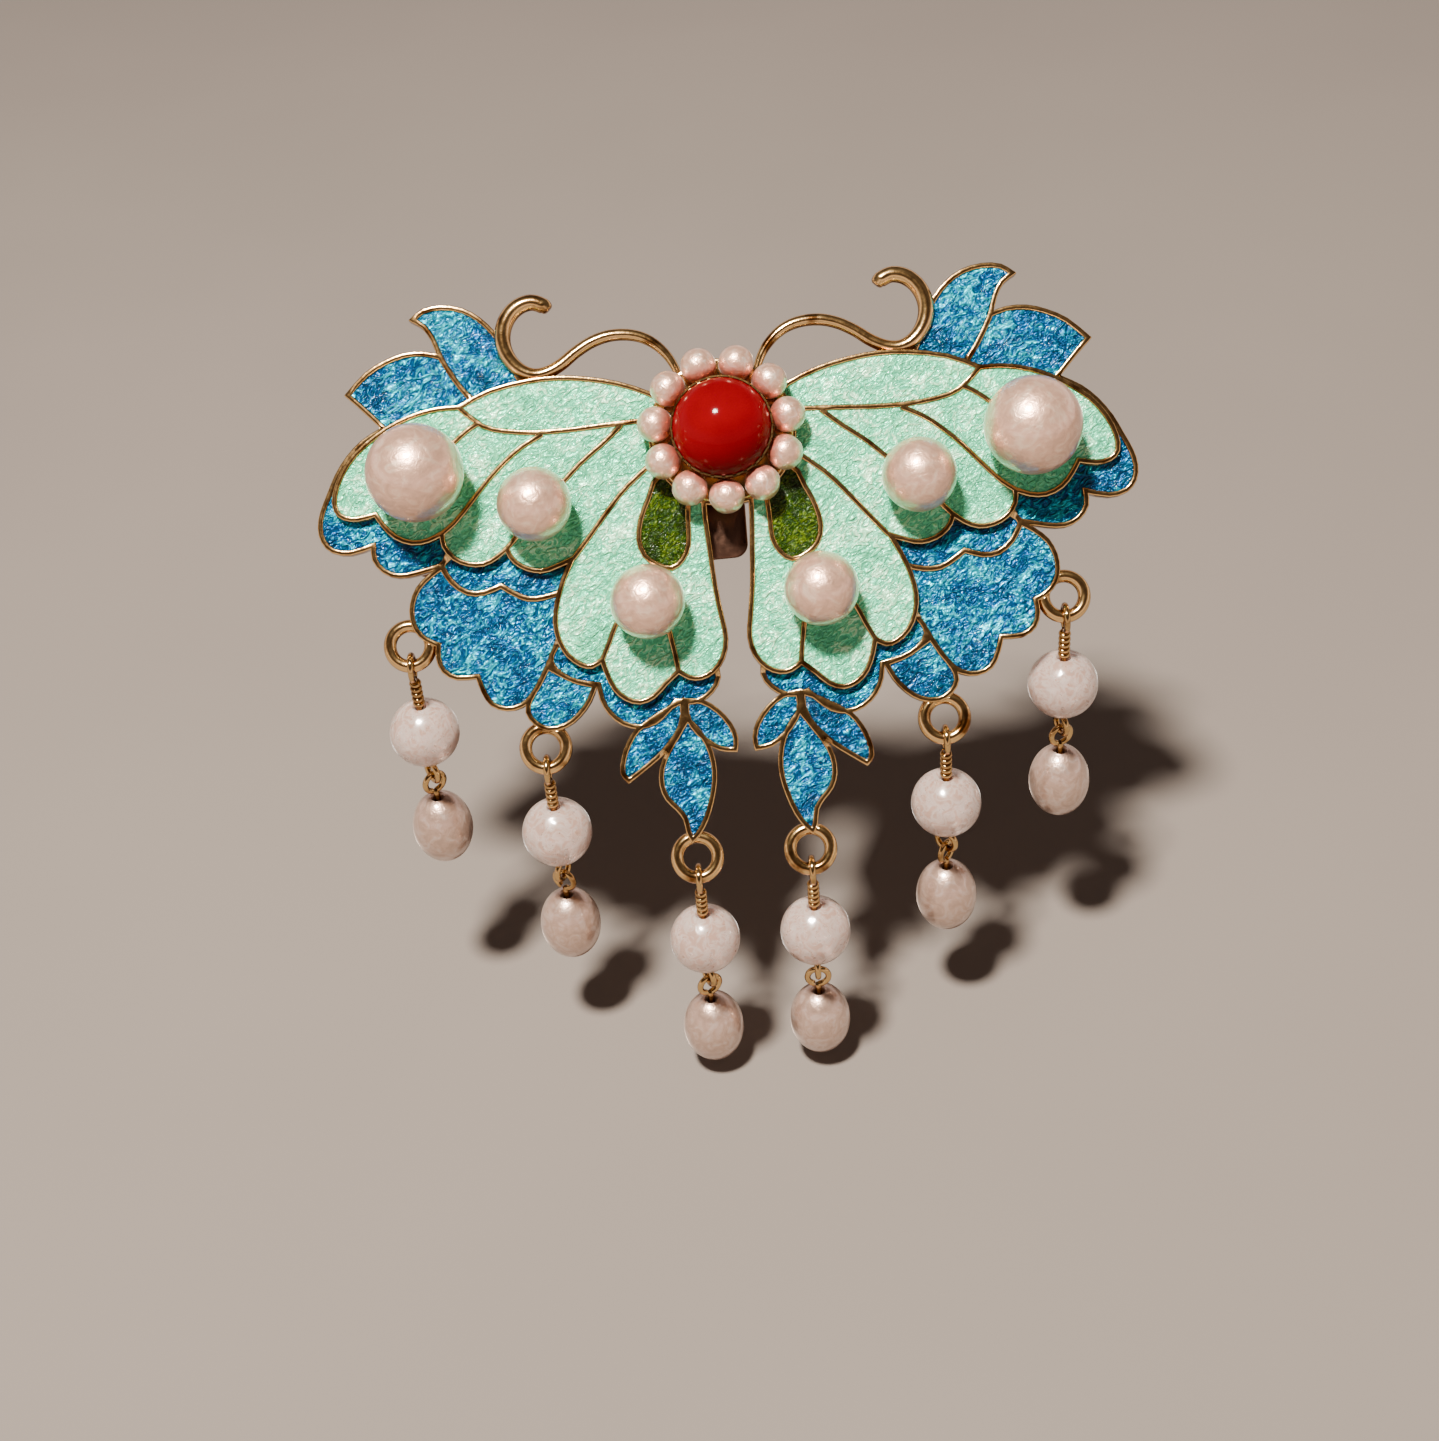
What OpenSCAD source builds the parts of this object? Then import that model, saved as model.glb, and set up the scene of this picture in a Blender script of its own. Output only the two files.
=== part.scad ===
// Butterfly duckbill hair clip, in millimetres.
// Plate frame: x to the right, y up the wings, z out of the wings' face, origin at the flower's centre.
// Row frame: +Z up, origin between the closed jaws, wings leaning back, drops hanging plumb.

/* [Stance] */
// Lean of the wing plate back from upright, in degrees
lean = 40; // [20:1:50]

/* [Wing plate] */
// Height of the lower, blue layer's rims above the plate's back
lower_top = 1.3; // [1.1:0.1:1.5]
// Height of the lower layer's pocket floors
lower_floor = 0.8; // [0.5:0.1:0.9]
// Height of the upper, aqua layer's rims
upper_top = 2.0; // [1.8:0.1:2.6]
// Height of the upper layer's pocket floors
upper_floor = 1.4; // [1.3:0.1:1.6]
// Depth of enamel below the rims it lies between
enamel_drop = 0.15; // [0.05:0.05:0.3]
// Width of metal outside the line of an outline
rim_out = 0.2; // [0.05:0.05:0.25]
// Width of metal inside the line of an outline
rim_in = 0.25; // [0.2:0.05:0.4]
// Width up to which a slit between two castings is filled with metal
slit = 0.5; // [0.2:0.1:0.6]
// Width of a rim that parts two panes of enamel
line_w = 0.45; // [0.3:0.05:0.6]
// How far a pearl's gold seat stays inside the pearl's outline
seat_in = 1.1; // [0.8:0.1:1.5]

/* [Pearls] */
// Radius of the two outer pearls
pearl_outer_r = 4.2; // [3.5:0.05:4.4]
// Radius of the four other pearls
pearl_r = 3.2; // [2.5:0.05:3.4]
// Depth of the flat that a pearl rests on
pearl_flat = 0.3; // [0.1:0.1:0.5]

/* [Flower] */
// Number of small pearls round the flower
petals = 11; // [9:1:11]
// Radius of a small pearl
petal_r = 1.54; // [1.2:0.01:1.54]
// Distance of a small pearl's centre from the flower's centre
petal_ring_r = 5.75; // [5.75:0.05:5.9]
// Radius of the red stone
stone_r = 4.15; // [3.8:0.05:4.15]
// Height of the red stone's dome above its girdle
dome_h = 2.9; // [2:0.1:3.6]
// Number of notches in the stone's bezel
bezel_notches = 28; // [16:2:36]

/* [Rings and antennae] */
// Distance from a cast ring's centre to the middle of its wire
ring_r = 1.76; // [1.6:0.02:1.9]
// Radius of a cast ring's wire
ring_wire_r = 0.56; // [0.35:0.01:0.58]

/* [Drops] */
// Radius of a round bead
bead_r = 3.1; // [2.6:0.1:3.4]
// Radius of an oval bead
oval_r = 2.75; // [2.2:0.05:3]
// Half the length of an oval bead
oval_half = 3.7; // [3.2:0.1:4]
// Radius of the pin wire
wire_r = 0.28; // [0.2:0.01:0.3]
// Radius of the hole through a bead
hole_r = 0.45; // [0.35:0.05:0.6]
// Middle radius of the eye that hangs on a cast ring
top_eye_r = 1.1; // [1.05:0.05:1.4]
// Middle radius of the two eyes between the beads
mid_eye_r = 0.95; // [0.85:0.05:1.1]
// Drop from the cast ring's lowest point to the round bead's centre
bead_drop = 7.4; // [7:0.1:9]

/* [Clip] */
// Height of the clip's centre line on the plate, below the flower's centre
clip_y = -7.9; // [-9:0.1:-7]
// Place of the jaws' tip across the plate
tip_x = 1.5; // [0.5:0.1:2]
// Place of the hinge across the plate
hinge_x = -17.5; // [-20:0.5:-15]
// Place of the tail's end across the plate
tail_x = -29.2; // [-30:0.1:-27]
// Depth of the hinge pin behind the plate
hinge_depth = 2.2; // [2.1:0.1:2.6]
// Thickness of the jaws' sheet metal
sheet = 0.7; // [0.5:0.1:0.8]
// Gap between the closed jaws, where hair is held
jaw_gap = 0.3; // [0.3:0.05:0.5]
// Radius of the hinge pin
pin_r = 0.5; // [0.4:0.05:0.6]
// Running clearance round the hinge pin
pin_play = 0.05; // [0.02:0.01:0.08]

/* [Hidden] */

$fn = 48;
// Points added between two rows of an outline
curve_steps = 2;
// Clearance of enamel from the metal beside it
enamel_play = 0.02;
// Slivers of pocket thinner than twice this are left as metal
sliver = 0.06;
// Sides of an antenna's section
antenna_sides = 8;

gold = [0.80, 0.58, 0.27];
aqua = [0.60, 0.83, 0.74];
blue = [0.12, 0.52, 0.75];
green = [0.28, 0.44, 0.08];
pearl_white = [0.90, 0.82, 0.78];
red = [0.66, 0.02, 0.03];
milky = [0.90, 0.80, 0.79];
steel = [0.62, 0.50, 0.34];

// Outlines of the right wing. Columns: across, up, 1 where the edge turns a sharp corner.
top_petal = [
    [4.2, 2.6, 1], [6.0, 3.8, 0], [8.7, 4.9, 0], [11.3, 5.5, 0], [13.9, 5.8, 0], [16.5, 5.7, 0],
    [19.8, 5.1, 0], [22.6, 3.9, 1], [20.6, 2.1, 0], [18.7, 1.5, 0], [16.1, 1.2, 0], [12.7, 1.2, 0],
    [7.2, 1.5, 0], [4.6, 1.2, 1],
];
forewing = [
    [3.0, 2.0, 1], [22.6, 3.9, 1], [24.3, 3.9, 0], [26.1, 3.6, 0], [27.9, 3.0, 0], [29.8, 2.0, 0],
    [31.8, 0.5, 0], [33.1, -1.2, 0], [33.8, -2.9, 0], [33.8, -4.2, 0], [33.1, -4.9, 0],
    [31.9, -5.1, 0], [30.4, -4.8, 1], [29.8, -5.8, 0], [28.8, -6.9, 0], [27.4, -7.5, 0],
    [26.0, -7.4, 0], [24.8, -6.9, 1], [24.7, -8.0, 0], [23.9, -9.1, 0], [22.7, -9.7, 0],
    [21.4, -9.8, 0], [20.2, -9.3, 0], [19.3, -8.6, 1], [19.0, -9.4, 0], [18.2, -10.2, 0],
    [17.0, -10.7, 0], [15.8, -10.7, 0], [13.6, -9.9, 1], [5.0, -6.0, 1],
];
hindwing = [
    [5.0, -1.0, 1], [13.0, -8.6, 1], [14.6, -11.6, 0], [15.3, -13.5, 0], [15.6, -15.2, 0],
    [15.4, -16.8, 0], [14.7, -18.2, 0], [13.6, -19.1, 0], [12.7, -19.3, 0], [11.8, -18.8, 1],
    [11.5, -20.0, 0], [10.9, -21.4, 0], [10.0, -22.3, 0], [8.8, -22.7, 0], [7.6, -22.3, 0],
    [6.5, -21.3, 0], [5.3, -20.3, 1], [4.4, -20.9, 0], [3.4, -21.0, 0], [2.3, -20.5, 0],
    [1.4, -19.4, 0], [1.0, -17.8, 0], [1.2, -16.1, 0], [1.6, -13.2, 0], [1.8, -10.2, 0],
    [2.0, -7.2, 0], [2.0, -4.5, 1],
];
green_leaf = [
    [5.4, -3.0, 0], [6.8, -5.2, 0], [7.6, -7.0, 0], [7.9, -8.7, 0], [7.5, -10.1, 0],
    [6.5, -11.0, 0], [5.2, -11.4, 0], [4.2, -10.7, 0], [3.6, -9.5, 0], [3.5, -7.8, 0],
    [3.4, -6.2, 0], [3.0, -4.5, 0],
];
top_leaf = [
    [16.7, 5.2, 1], [17.9, 7.4, 0], [18.4, 9.0, 0], [19.2, 10.3, 0], [20.3, 11.5, 0],
    [21.7, 12.4, 0], [23.5, 12.8, 0], [25.1, 12.6, 0], [26.1, 11.9, 1], [25.1, 11.2, 0],
    [24.4, 10.0, 0], [23.9, 8.5, 0], [23.0, 6.8, 0], [21.8, 5.0, 0], [20.0, 3.6, 1],
];
side_leaf = [
    [20.6, 3.6, 1], [21.8, 5.0, 0], [23.0, 6.8, 0], [23.9, 8.5, 1], [25.3, 8.9, 0], [27.0, 8.9, 0],
    [28.7, 8.4, 0], [30.4, 7.5, 0], [32.2, 5.8, 1], [31.0, 4.6, 0], [29.7, 3.2, 1], [28.2, 1.6, 1],
    [24.0, 2.4, 1],
];
side_scallops = [
    [29.6, 2.5, 1], [31.2, 1.6, 0], [32.5, 0.4, 0], [33.6, -1.1, 0], [34.4, -2.7, 0],
    [35.1, -4.2, 0], [35.4, -5.5, 0], [35.2, -6.7, 0], [34.4, -7.6, 0], [32.9, -7.9, 0],
    [30.9, -7.4, 1], [30.9, -8.6, 0], [30.1, -9.7, 0], [28.9, -10.2, 0], [27.4, -10.1, 0],
    [25.2, -9.6, 1], [23.4, -8.2, 1], [28.0, -4.6, 1],
];
under_band = [
    [24.0, -7.6, 1], [25.1, -9.7, 1], [24.3, -11.1, 0], [23.0, -12.1, 0], [21.6, -12.2, 0],
    [20.1, -11.7, 1], [19.1, -12.4, 0], [17.9, -13.0, 0], [16.4, -13.0, 0], [14.8, -12.6, 1],
    [12.6, -9.0, 1], [17.0, -8.6, 1],
];
big_lobe = [
    [25.1, -9.7, 1], [26.2, -10.4, 0], [27.3, -11.4, 0], [27.9, -12.7, 0], [28.0, -13.9, 0],
    [27.7, -15.0, 0], [26.9, -15.9, 0], [25.9, -16.4, 1], [26.0, -17.5, 0], [25.6, -18.7, 0],
    [24.5, -19.4, 0], [22.7, -19.4, 1], [22.3, -20.7, 0], [21.6, -21.9, 0], [20.4, -22.4, 0],
    [19.1, -22.2, 0], [18.2, -21.5, 0], [17.4, -20.4, 0], [16.6, -19.0, 0], [15.8, -17.4, 0],
    [15.0, -15.6, 1], [14.0, -12.4, 1], [16.4, -13.0, 0], [17.9, -13.0, 0], [19.1, -12.4, 0],
    [20.1, -11.7, 1], [21.6, -12.2, 0], [23.0, -12.1, 0], [24.3, -11.1, 0],
];
small_lobe = [
    [16.6, -19.0, 1], [17.4, -20.4, 0], [18.3, -21.7, 0], [18.6, -22.8, 0], [18.0, -23.8, 0],
    [16.9, -24.4, 0], [15.4, -24.2, 0], [14.2, -23.4, 0], [13.2, -22.2, 0], [12.6, -20.9, 1],
    [14.1, -20.5, 0], [15.4, -19.8, 0],
];
lower_band = [
    [14.4, -15.4, 1], [15.8, -17.4, 0], [16.3, -18.6, 0], [15.4, -19.8, 0], [14.1, -20.5, 0],
    [12.3, -20.9, 1], [12.1, -22.2, 0], [11.5, -23.4, 0], [10.4, -24.4, 0], [9.0, -24.8, 0],
    [7.6, -24.5, 0], [6.5, -23.6, 0], [5.7, -22.8, 1], [4.7, -23.0, 0], [3.7, -22.9, 0],
    [2.6, -22.2, 0], [1.9, -21.0, 0], [2.2, -19.2, 1], [7.0, -18.4, 1],
];
inner_tail = [
    [4.8, -22.8, 1], [3.5, -23.0, 0], [2.2, -23.9, 0], [1.2, -25.2, 0], [0.8, -26.4, 0],
    [0.9, -27.4, 1], [2.2, -27.2, 0], [3.5, -26.3, 0], [4.5, -25.1, 0], [4.9, -23.9, 0],
];
outer_tail = [
    [5.2, -22.8, 1], [6.9, -23.6, 0], [9.2, -25.0, 0], [10.1, -26.2, 0], [10.6, -27.4, 0],
    [10.8, -28.7, 0], [10.3, -29.4, 1], [9.0, -28.5, 0], [7.6, -27.5, 0], [6.5, -26.4, 0],
    [5.6, -25.2, 0], [5.2, -23.9, 0],
];
middle_tail = [
    [4.9, -24.4, 1], [5.9, -25.9, 0], [6.8, -27.2, 0], [7.4, -28.6, 0], [7.5, -30.0, 0],
    [7.1, -31.2, 0], [6.3, -32.1, 0], [5.7, -33.0, 0], [5.5, -34.2, 0], [5.2, -34.9, 1],
    [4.6, -34.3, 0], [3.9, -33.2, 0], [3.3, -31.6, 0], [2.9, -29.9, 0], [2.9, -28.3, 0],
    [3.3, -26.7, 0], [4.1, -25.3, 0],
];
aqua_outlines = [top_petal, forewing, hindwing];
blue_outlines = [
    top_leaf, side_leaf, side_scallops, under_band, big_lobe, small_lobe, lower_band,
    inner_tail, outer_tail, middle_tail,
];

// Rims that part the aqua panes. Columns: across, up, 1 at an end or corner.
aqua_lines = [
    [[20.9, 2.4, 1], [21.7, 2.0, 0], [22.8, 1.2, 0], [24.4, -0.2, 1]],
    [[15.5, 1.0, 1], [17.3, 0.1, 0], [18.9, -1.1, 0], [20.5, -2.6, 0], [22.1, -4.4, 0],
     [23.7, -6.1, 0], [24.8, -6.9, 1]],
    [[8.6, 1.3, 1], [10.5, -0.3, 0], [12.5, -1.8, 0], [16.1, -5.3, 0], [19.3, -8.6, 1]],
    [[6.0, -2.0, 1], [8.5, -4.0, 0], [10.1, -5.7, 0], [12.0, -8.0, 0], [13.6, -9.9, 1]],
    [[8.9, -14.1, 1], [10.4, -15.9, 0], [11.0, -17.2, 0], [11.8, -18.8, 1]],
    [[6.0, -15.4, 1], [5.8, -17.0, 0], [5.5, -18.7, 0], [5.3, -20.3, 1]],
];

// Middle line of the right antenna. Columns: across, up, 1 at an end, radius.
antenna = [
    [3.2, 4.4, 1, 0.30], [3.6, 5.9, 0, 0.34], [4.4, 7.3, 0, 0.40], [5.7, 8.5, 0, 0.46],
    [7.2, 9.1, 0, 0.50], [9.0, 9.2, 0, 0.52], [10.6, 8.8, 0, 0.52], [12.1, 8.0, 0, 0.52],
    [13.5, 7.0, 0, 0.54], [14.8, 6.4, 0, 0.56], [16.0, 6.3, 0, 0.60], [17.2, 6.9, 0, 0.64],
    [18.1, 8.1, 0, 0.68], [18.4, 9.6, 0, 0.70], [18.0, 11.1, 0, 0.72], [17.0, 12.2, 0, 0.72],
    [15.7, 12.6, 0, 0.70], [14.6, 12.2, 0, 0.68], [14.2, 11.8, 1, 0.48],
];
antenna_z = 1.2;

// Centres of the right wing's cast rings and the turn of each drop's lower eyes.
// Columns: across, up, turn on the left drop, turn on the right drop.
rings = [
    [28.4, -16.3, 35, 20],
    [17.3, -26.0, -30, 50],
    [4.9, -36.4, 25, 0],
];

// Pearls of the right wing. Columns: across, up.
outer_at = [26.2, -2.0];
middle_at = [16.4, -5.3];
lower_at = [7.4, -14.3];

disc_r = 6.4;
seat_z = upper_top;
cup_disc_r = 6.1;
cup_disc_h = 0.4;
cup_disc_top = seat_z + cup_disc_h;
petal_flat = 0.1;
stone_z = cup_disc_top + 2.2;
girdle_h = 0.6;
bezel_h = 0.8;
bezel_wall = 0.22;
notch_w = 0.24;
notch_h = 0.22;
stem_r = 3.7;
stem_h = 1;
bezel_r = stone_r + enamel_play + bezel_wall;
dome_r = (stone_r * stone_r + dome_h * dome_h) / (2 * dome_h);

ring_z = lower_top / 2;
grip = [0, clip_y, -sheet - jaw_gap / 2];

// Sizes of the hinge, measured from the clip's centre line
tip_half = 2.8;
hinge_half = 3.2;
tail_half = 1.8;
corner_r = 1.2;
tail_corner_r = 1.5;
ear_r = 1.2;
ear_t = 0.55;
outer_ear_y = 2.55;
inner_ear_y = 1.7;
pin_head_r = 0.8;
pin_head_h = 0.25;
coil_r = 0.95;
coil_wire_r = 0.26;
coil_pitch = 0.55;
coils = 4.5;
coil_len = coils * coil_pitch;
leg_len = 6.5;
turn_steps = 14;
spring_sides = 6;
leg_play = 0.05;
leg_start = 1;
seat_play = 0.02;
ear_foot = 1.9;
jaw_inset = 0.1;
tail_drop = 6.2;
closed_z = hinge_depth - sheet - jaw_gap;
// Side view of the lower jaw's upper face, from the hinge. Columns: across, out.
lower_face = [
    [tip_x - hinge_x, closed_z], [7.0, closed_z], [3.0, -1.4], [-1.5, -2.1], [-11.6, -tail_drop],
];
// Foot of the lower jaw's ears, inside its sheet. Columns: across, out.
inner_ear_foot = [[-1.6, -2.4], [2.4, -1.8]];

// Curves through an outline's rows
function spot(row) = [row[0], row[1]];
function unit(v) = v / norm(v);
function heading(rows, i, ahead) =
    let (n = len(rows), here = spot(rows[i]))
    let (before = spot(rows[(i + n - 1) % n]), after = spot(rows[(i + 1) % n]))
    rows[i][2] == 0 ? unit(after - before) : ahead ? unit(after - here) : unit(here - before);
function between(a, b, da, db, t) =
    let (reach = norm(b - a), s = 1 - t)
    a * s * s * (1 + 2 * t) + b * t * t * (1 + 2 * s) + (da * s - db * t) * reach * s * t;
function stretch_points(rows, i, j) = [
    for (k = [0 : curve_steps - 1])
        between(spot(rows[i]), spot(rows[j]), heading(rows, i, true), heading(rows, j, false),
            k / curve_steps)
];
function closed_curve(rows) = [
    for (i = [0 : len(rows) - 1]) each stretch_points(rows, i, (i + 1) % len(rows))
];
function open_curve(rows) = [
    for (i = [0 : len(rows) - 2]) each stretch_points(rows, i, i + 1),
    spot(rows[len(rows) - 1])
];
function side_of(points, i) =
    let (n = len(points), along = unit(points[min(i + 1, n - 1)] - points[max(i - 1, 0)]))
    [-along[1], along[0]];

antenna_points = open_curve(antenna);
antenna_radii = [
    for (i = [0 : len(antenna_points) - 1])
        let (row = floor(i / curve_steps), part = i / curve_steps - row)
        antenna[row][3] * (1 - part) + antenna[min(row + 1, len(antenna) - 1)][3] * part
];

// Faces of a tube whose rings of corners run from 0 to last
function tube_faces(last, sides) = [
    [for (k = [0 : sides - 1]) k],
    for (i = [0 : last - 1], k = [0 : sides - 1])
        let (m = (k + 1) % sides)
        [i * sides + k, (i + 1) * sides + k, (i + 1) * sides + m, i * sides + m],
    [for (k = [sides - 1 : -1 : 0]) last * sides + k],
];

// Puts children drawn on the plate where the plate stands in the row frame
module on_plate() {
    rotate([90 - lean, 0, 0]) translate(-grip) children();
}

// Place in the row frame of a point given on the plate
function standing(p) =
    let (q = p - grip, a = 90 - lean)
    [q[0], q[1] * cos(a) - q[2] * sin(a), q[1] * sin(a) + q[2] * cos(a)];

module on_side(side) {
    if (side > 0) children();
    else mirror([1, 0, 0]) children();
}

module on_both_sides() {
    for (side = [-1, 1]) on_side(side) children();
}

module shapes(outlines) {
    for (rows = outlines) polygon(closed_curve(rows));
}

// Each outline grown by itself, so that no sliver is left between two
module grown(outlines, by) {
    for (rows = outlines) offset(delta = by) polygon(closed_curve(rows));
}

module rim_of(rows) {
    difference() {
        offset(delta = rim_out) polygon(closed_curve(rows));
        offset(delta = -rim_in) polygon(closed_curve(rows));
    }
}

// A strip along points, with its half width at each point
module strip(points, halves) {
    last = len(points) - 1;
    polygon([
        for (i = [0 : last]) points[i] + side_of(points, i) * halves[i],
        for (i = [last : -1 : 0]) points[i] - side_of(points, i) * halves[i],
    ]);
}

module line(rows) {
    points = open_curve(rows);
    strip(points, [for (p = points) line_w / 2]);
}

module seats() {
    translate(outer_at) circle(pearl_outer_r - seat_in);
    translate(middle_at) circle(pearl_r - seat_in);
    translate(lower_at) circle(pearl_r - seat_in);
    circle(disc_r);
}

// Children without their slivers, and nowhere larger than they were
module open_parts() {
    intersection() {
        offset(delta = sliver) offset(delta = -sliver) children();
        children();
    }
}

// Panes of the right wing that enamel fills
module aqua_panes() {
    open_parts() difference() {
        offset(delta = -rim_in) shapes(aqua_outlines);
        rim_of(top_petal);
        for (rows = aqua_lines) line(rows);
        offset(delta = rim_out) shapes([green_leaf]);
        seats();
    }
}

module green_panes() {
    open_parts() difference() {
        offset(delta = -rim_in) shapes([green_leaf]);
        seats();
    }
}

module blue_panes() {
    open_parts() difference() {
        shapes(blue_outlines);
        for (rows = blue_outlines) rim_of(rows);
        strip(antenna_points, antenna_radii);
    }
}

module lower_silhouette() {
    offset(delta = 0) {
        on_both_sides() {
            offset(delta = rim_out - slit / 2) grown(blue_outlines, slit / 2);
            offset(delta = -rim_in) shapes(aqua_outlines);
        }
        circle(disc_r - rim_out);
    }
}

module upper_silhouette() {
    offset(delta = 0) {
        on_both_sides() grown(aqua_outlines, rim_out);
        circle(disc_r);
    }
}

module antenna_tube() {
    last = len(antenna_points) - 1;
    sides = antenna_sides;
    corners = [
        for (i = [0 : last], k = [0 : sides - 1])
            let (a = (k + 0.5) * 360 / sides, r = antenna_radii[i])
            let (at = antenna_points[i] + side_of(antenna_points, i) * r * cos(a))
            [at[0], at[1], antenna_z + r * sin(a)]
    ];
    polyhedron(corners, tube_faces(last, sides));
}

module cast_ring(at) {
    translate([at[0], at[1], ring_z]) rotate_extrude() translate([ring_r, 0]) circle(ring_wire_r);
}

module wing_plate() {
    color(gold) on_plate() {
        difference() {
            union() {
                linear_extrude(lower_top) lower_silhouette();
                on_both_sides() for (at = rings) cast_ring(at);
            }
            translate([0, 0, lower_floor]) linear_extrude(upper_top)
                offset(delta = 0) on_both_sides() blue_panes();
        }
        difference() {
            translate([0, 0, lower_floor / 2]) linear_extrude(upper_top - lower_floor / 2)
                upper_silhouette();
            translate([0, 0, upper_floor]) linear_extrude(upper_top)
                offset(delta = 0) on_both_sides() {
                    aqua_panes();
                    green_panes();
                }
        }
        on_both_sides() antenna_tube();
    }
}

module aqua_enamel(side) {
    color(aqua) on_plate() translate([0, 0, upper_floor])
        linear_extrude(upper_top - enamel_drop - upper_floor)
            offset(delta = -enamel_play) on_side(side) aqua_panes();
}

module green_enamel(side) {
    color(green) on_plate() translate([0, 0, upper_floor])
        linear_extrude(upper_top - enamel_drop - upper_floor)
            offset(delta = -enamel_play) on_side(side) green_panes();
}

module blue_enamel(side) {
    color(blue) on_plate() translate([0, 0, lower_floor])
        linear_extrude(lower_top - enamel_drop - lower_floor)
            offset(delta = 0) on_side(side) open_parts() difference() {
                offset(delta = -enamel_play) blue_panes();
                offset(delta = rim_out + enamel_play) shapes(aqua_outlines);
            }
}

module flat_pearl(at, z, r, flat) {
    color(pearl_white) on_plate() translate([at[0], at[1], z]) intersection() {
        translate([0, 0, r - flat]) sphere(r);
        translate([-r, -r, 0]) cube([2 * r, 2 * r, 2 * r]);
    }
}

module wing_pearl(at, side, r) {
    flat_pearl([side * at[0], at[1]], seat_z, r, pearl_flat);
}

module petal_pearl(i) {
    a = -90 + (i - 1) * 360 / petals;
    flat_pearl(petal_ring_r * [cos(a), sin(a)], cup_disc_top, petal_r, petal_flat);
}

module flower_cup() {
    color(gold) on_plate() difference() {
        rotate_extrude() polygon([
            [0, seat_z], [cup_disc_r, seat_z], [cup_disc_r, cup_disc_top], [stem_r, cup_disc_top],
            [stem_r, cup_disc_top + stem_h], [bezel_r, stone_z + bezel_wall],
            [bezel_r, stone_z + bezel_h],
            [bezel_r - bezel_wall, stone_z + bezel_h], [bezel_r - bezel_wall, stone_z], [0, stone_z],
        ]);
        for (i = [0 : bezel_notches - 1]) rotate([0, 0, i * 360 / bezel_notches])
            translate([bezel_r - 2 * bezel_wall, -notch_w / 2, stone_z + bezel_h - notch_h])
                cube([4 * bezel_wall, notch_w, 2 * notch_h]);
    }
}

module red_stone() {
    color(red) on_plate() translate([0, 0, stone_z]) {
        cylinder(h = girdle_h, r = stone_r);
        translate([0, 0, girdle_h]) intersection() {
            translate([0, 0, dome_h - dome_r]) sphere(dome_r);
            cylinder(h = 2 * dome_h, r = 2 * stone_r);
        }
    }
}

// Drops are numbered from the wearer's left: outer, middle, inner, then inner, middle, outer.
// Columns worked out: across on the plate, up on the plate, turn of the lower eyes.
drops = [
    for (ring = rings) [-ring[0], ring[1], ring[2]],
    for (i = [2 : -1 : 0]) [rings[i][0], rings[i][1], rings[i][3]],
];
eye_play = 0.1;
link_play = 0.06;
bead_to_eye = 0.25;
eye_to_oval = 0.4;
top_eye_drop = top_eye_r - wire_r - ring_wire_r - eye_play;
upper_loop_z = -bead_drop - bead_r - mid_eye_r - wire_r - bead_to_eye;
lower_loop_z = upper_loop_z - 2 * mid_eye_r + 2 * wire_r + link_play;
oval_z = lower_loop_z - mid_eye_r - wire_r - eye_to_oval - oval_half;
pin_tip_r = 0.55;
tip_play = 0.02;

// Puts children at a drop's top, the lowest point of its cast ring
module at_drop(i) {
    drop = drops[i - 1];
    translate(standing([drop[0], drop[1] - ring_r, ring_z])) children();
}

// An upright eye of wire, whose plane holds the Z axis and turns about it
module eye(z, r, turn) {
    translate([0, 0, z]) rotate([90, 0, turn]) rotate_extrude() translate([r, 0]) circle(wire_r);
}

module shank(top, bottom) {
    translate([0, 0, bottom]) cylinder(h = top - bottom, r = wire_r, $fn = 24);
}

module eye_pin(i) {
    color(gold) at_drop(i) {
        eye(-top_eye_drop, top_eye_r, 90);
        shank(-top_eye_drop - top_eye_r, upper_loop_z + mid_eye_r);
        eye(upper_loop_z, mid_eye_r, drops[i - 1][2] + 90);
    }
}

module round_bead(i) {
    color(milky) at_drop(i) translate([0, 0, -bead_drop]) difference() {
        sphere(bead_r);
        cylinder(h = 4 * bead_r, r = hole_r, center = true, $fn = 24);
    }
}

module drop_pin(i) {
    color(gold) at_drop(i) {
        eye(lower_loop_z, mid_eye_r, drops[i - 1][2]);
        shank(lower_loop_z - mid_eye_r, oval_z - oval_half);
        translate([0, 0, oval_z - oval_half]) sphere(pin_tip_r);
    }
}

module oval_bead(i) {
    color(milky) at_drop(i) translate([0, 0, oval_z]) difference() {
        scale([oval_r, oval_r, oval_half]) sphere(1);
        cylinder(h = 4 * oval_half, r = hole_r, center = true, $fn = 24);
        translate([0, 0, -oval_half]) sphere(pin_tip_r + tip_play);
    }
}

// Puts children given by their place from the hinge pin: across, along the pin, out
module at_hinge() {
    on_plate() translate([hinge_x, clip_y, -hinge_depth]) children();
}

// A plate of the given outline in the side view, from y up by t
module side_plate(y, t) {
    translate([0, y + t, 0]) rotate([90, 0, 0]) linear_extrude(t) children();
}

module jaw_plan(shrink) {
    tip = tip_x - hinge_x - corner_r;
    tail = tail_x - hinge_x + tail_corner_r;
    hull() for (y = [-1, 1]) {
        translate([tip, y * (tip_half - corner_r)]) circle(corner_r - shrink);
        translate([0, y * (hinge_half - corner_r)]) circle(corner_r - shrink);
    }
    hull() for (y = [-1, 1]) {
        translate([0, y * (hinge_half - corner_r)]) circle(corner_r - shrink);
        translate([tail, y * (tail_half - tail_corner_r)]) circle(tail_corner_r - shrink);
    }
}

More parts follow.
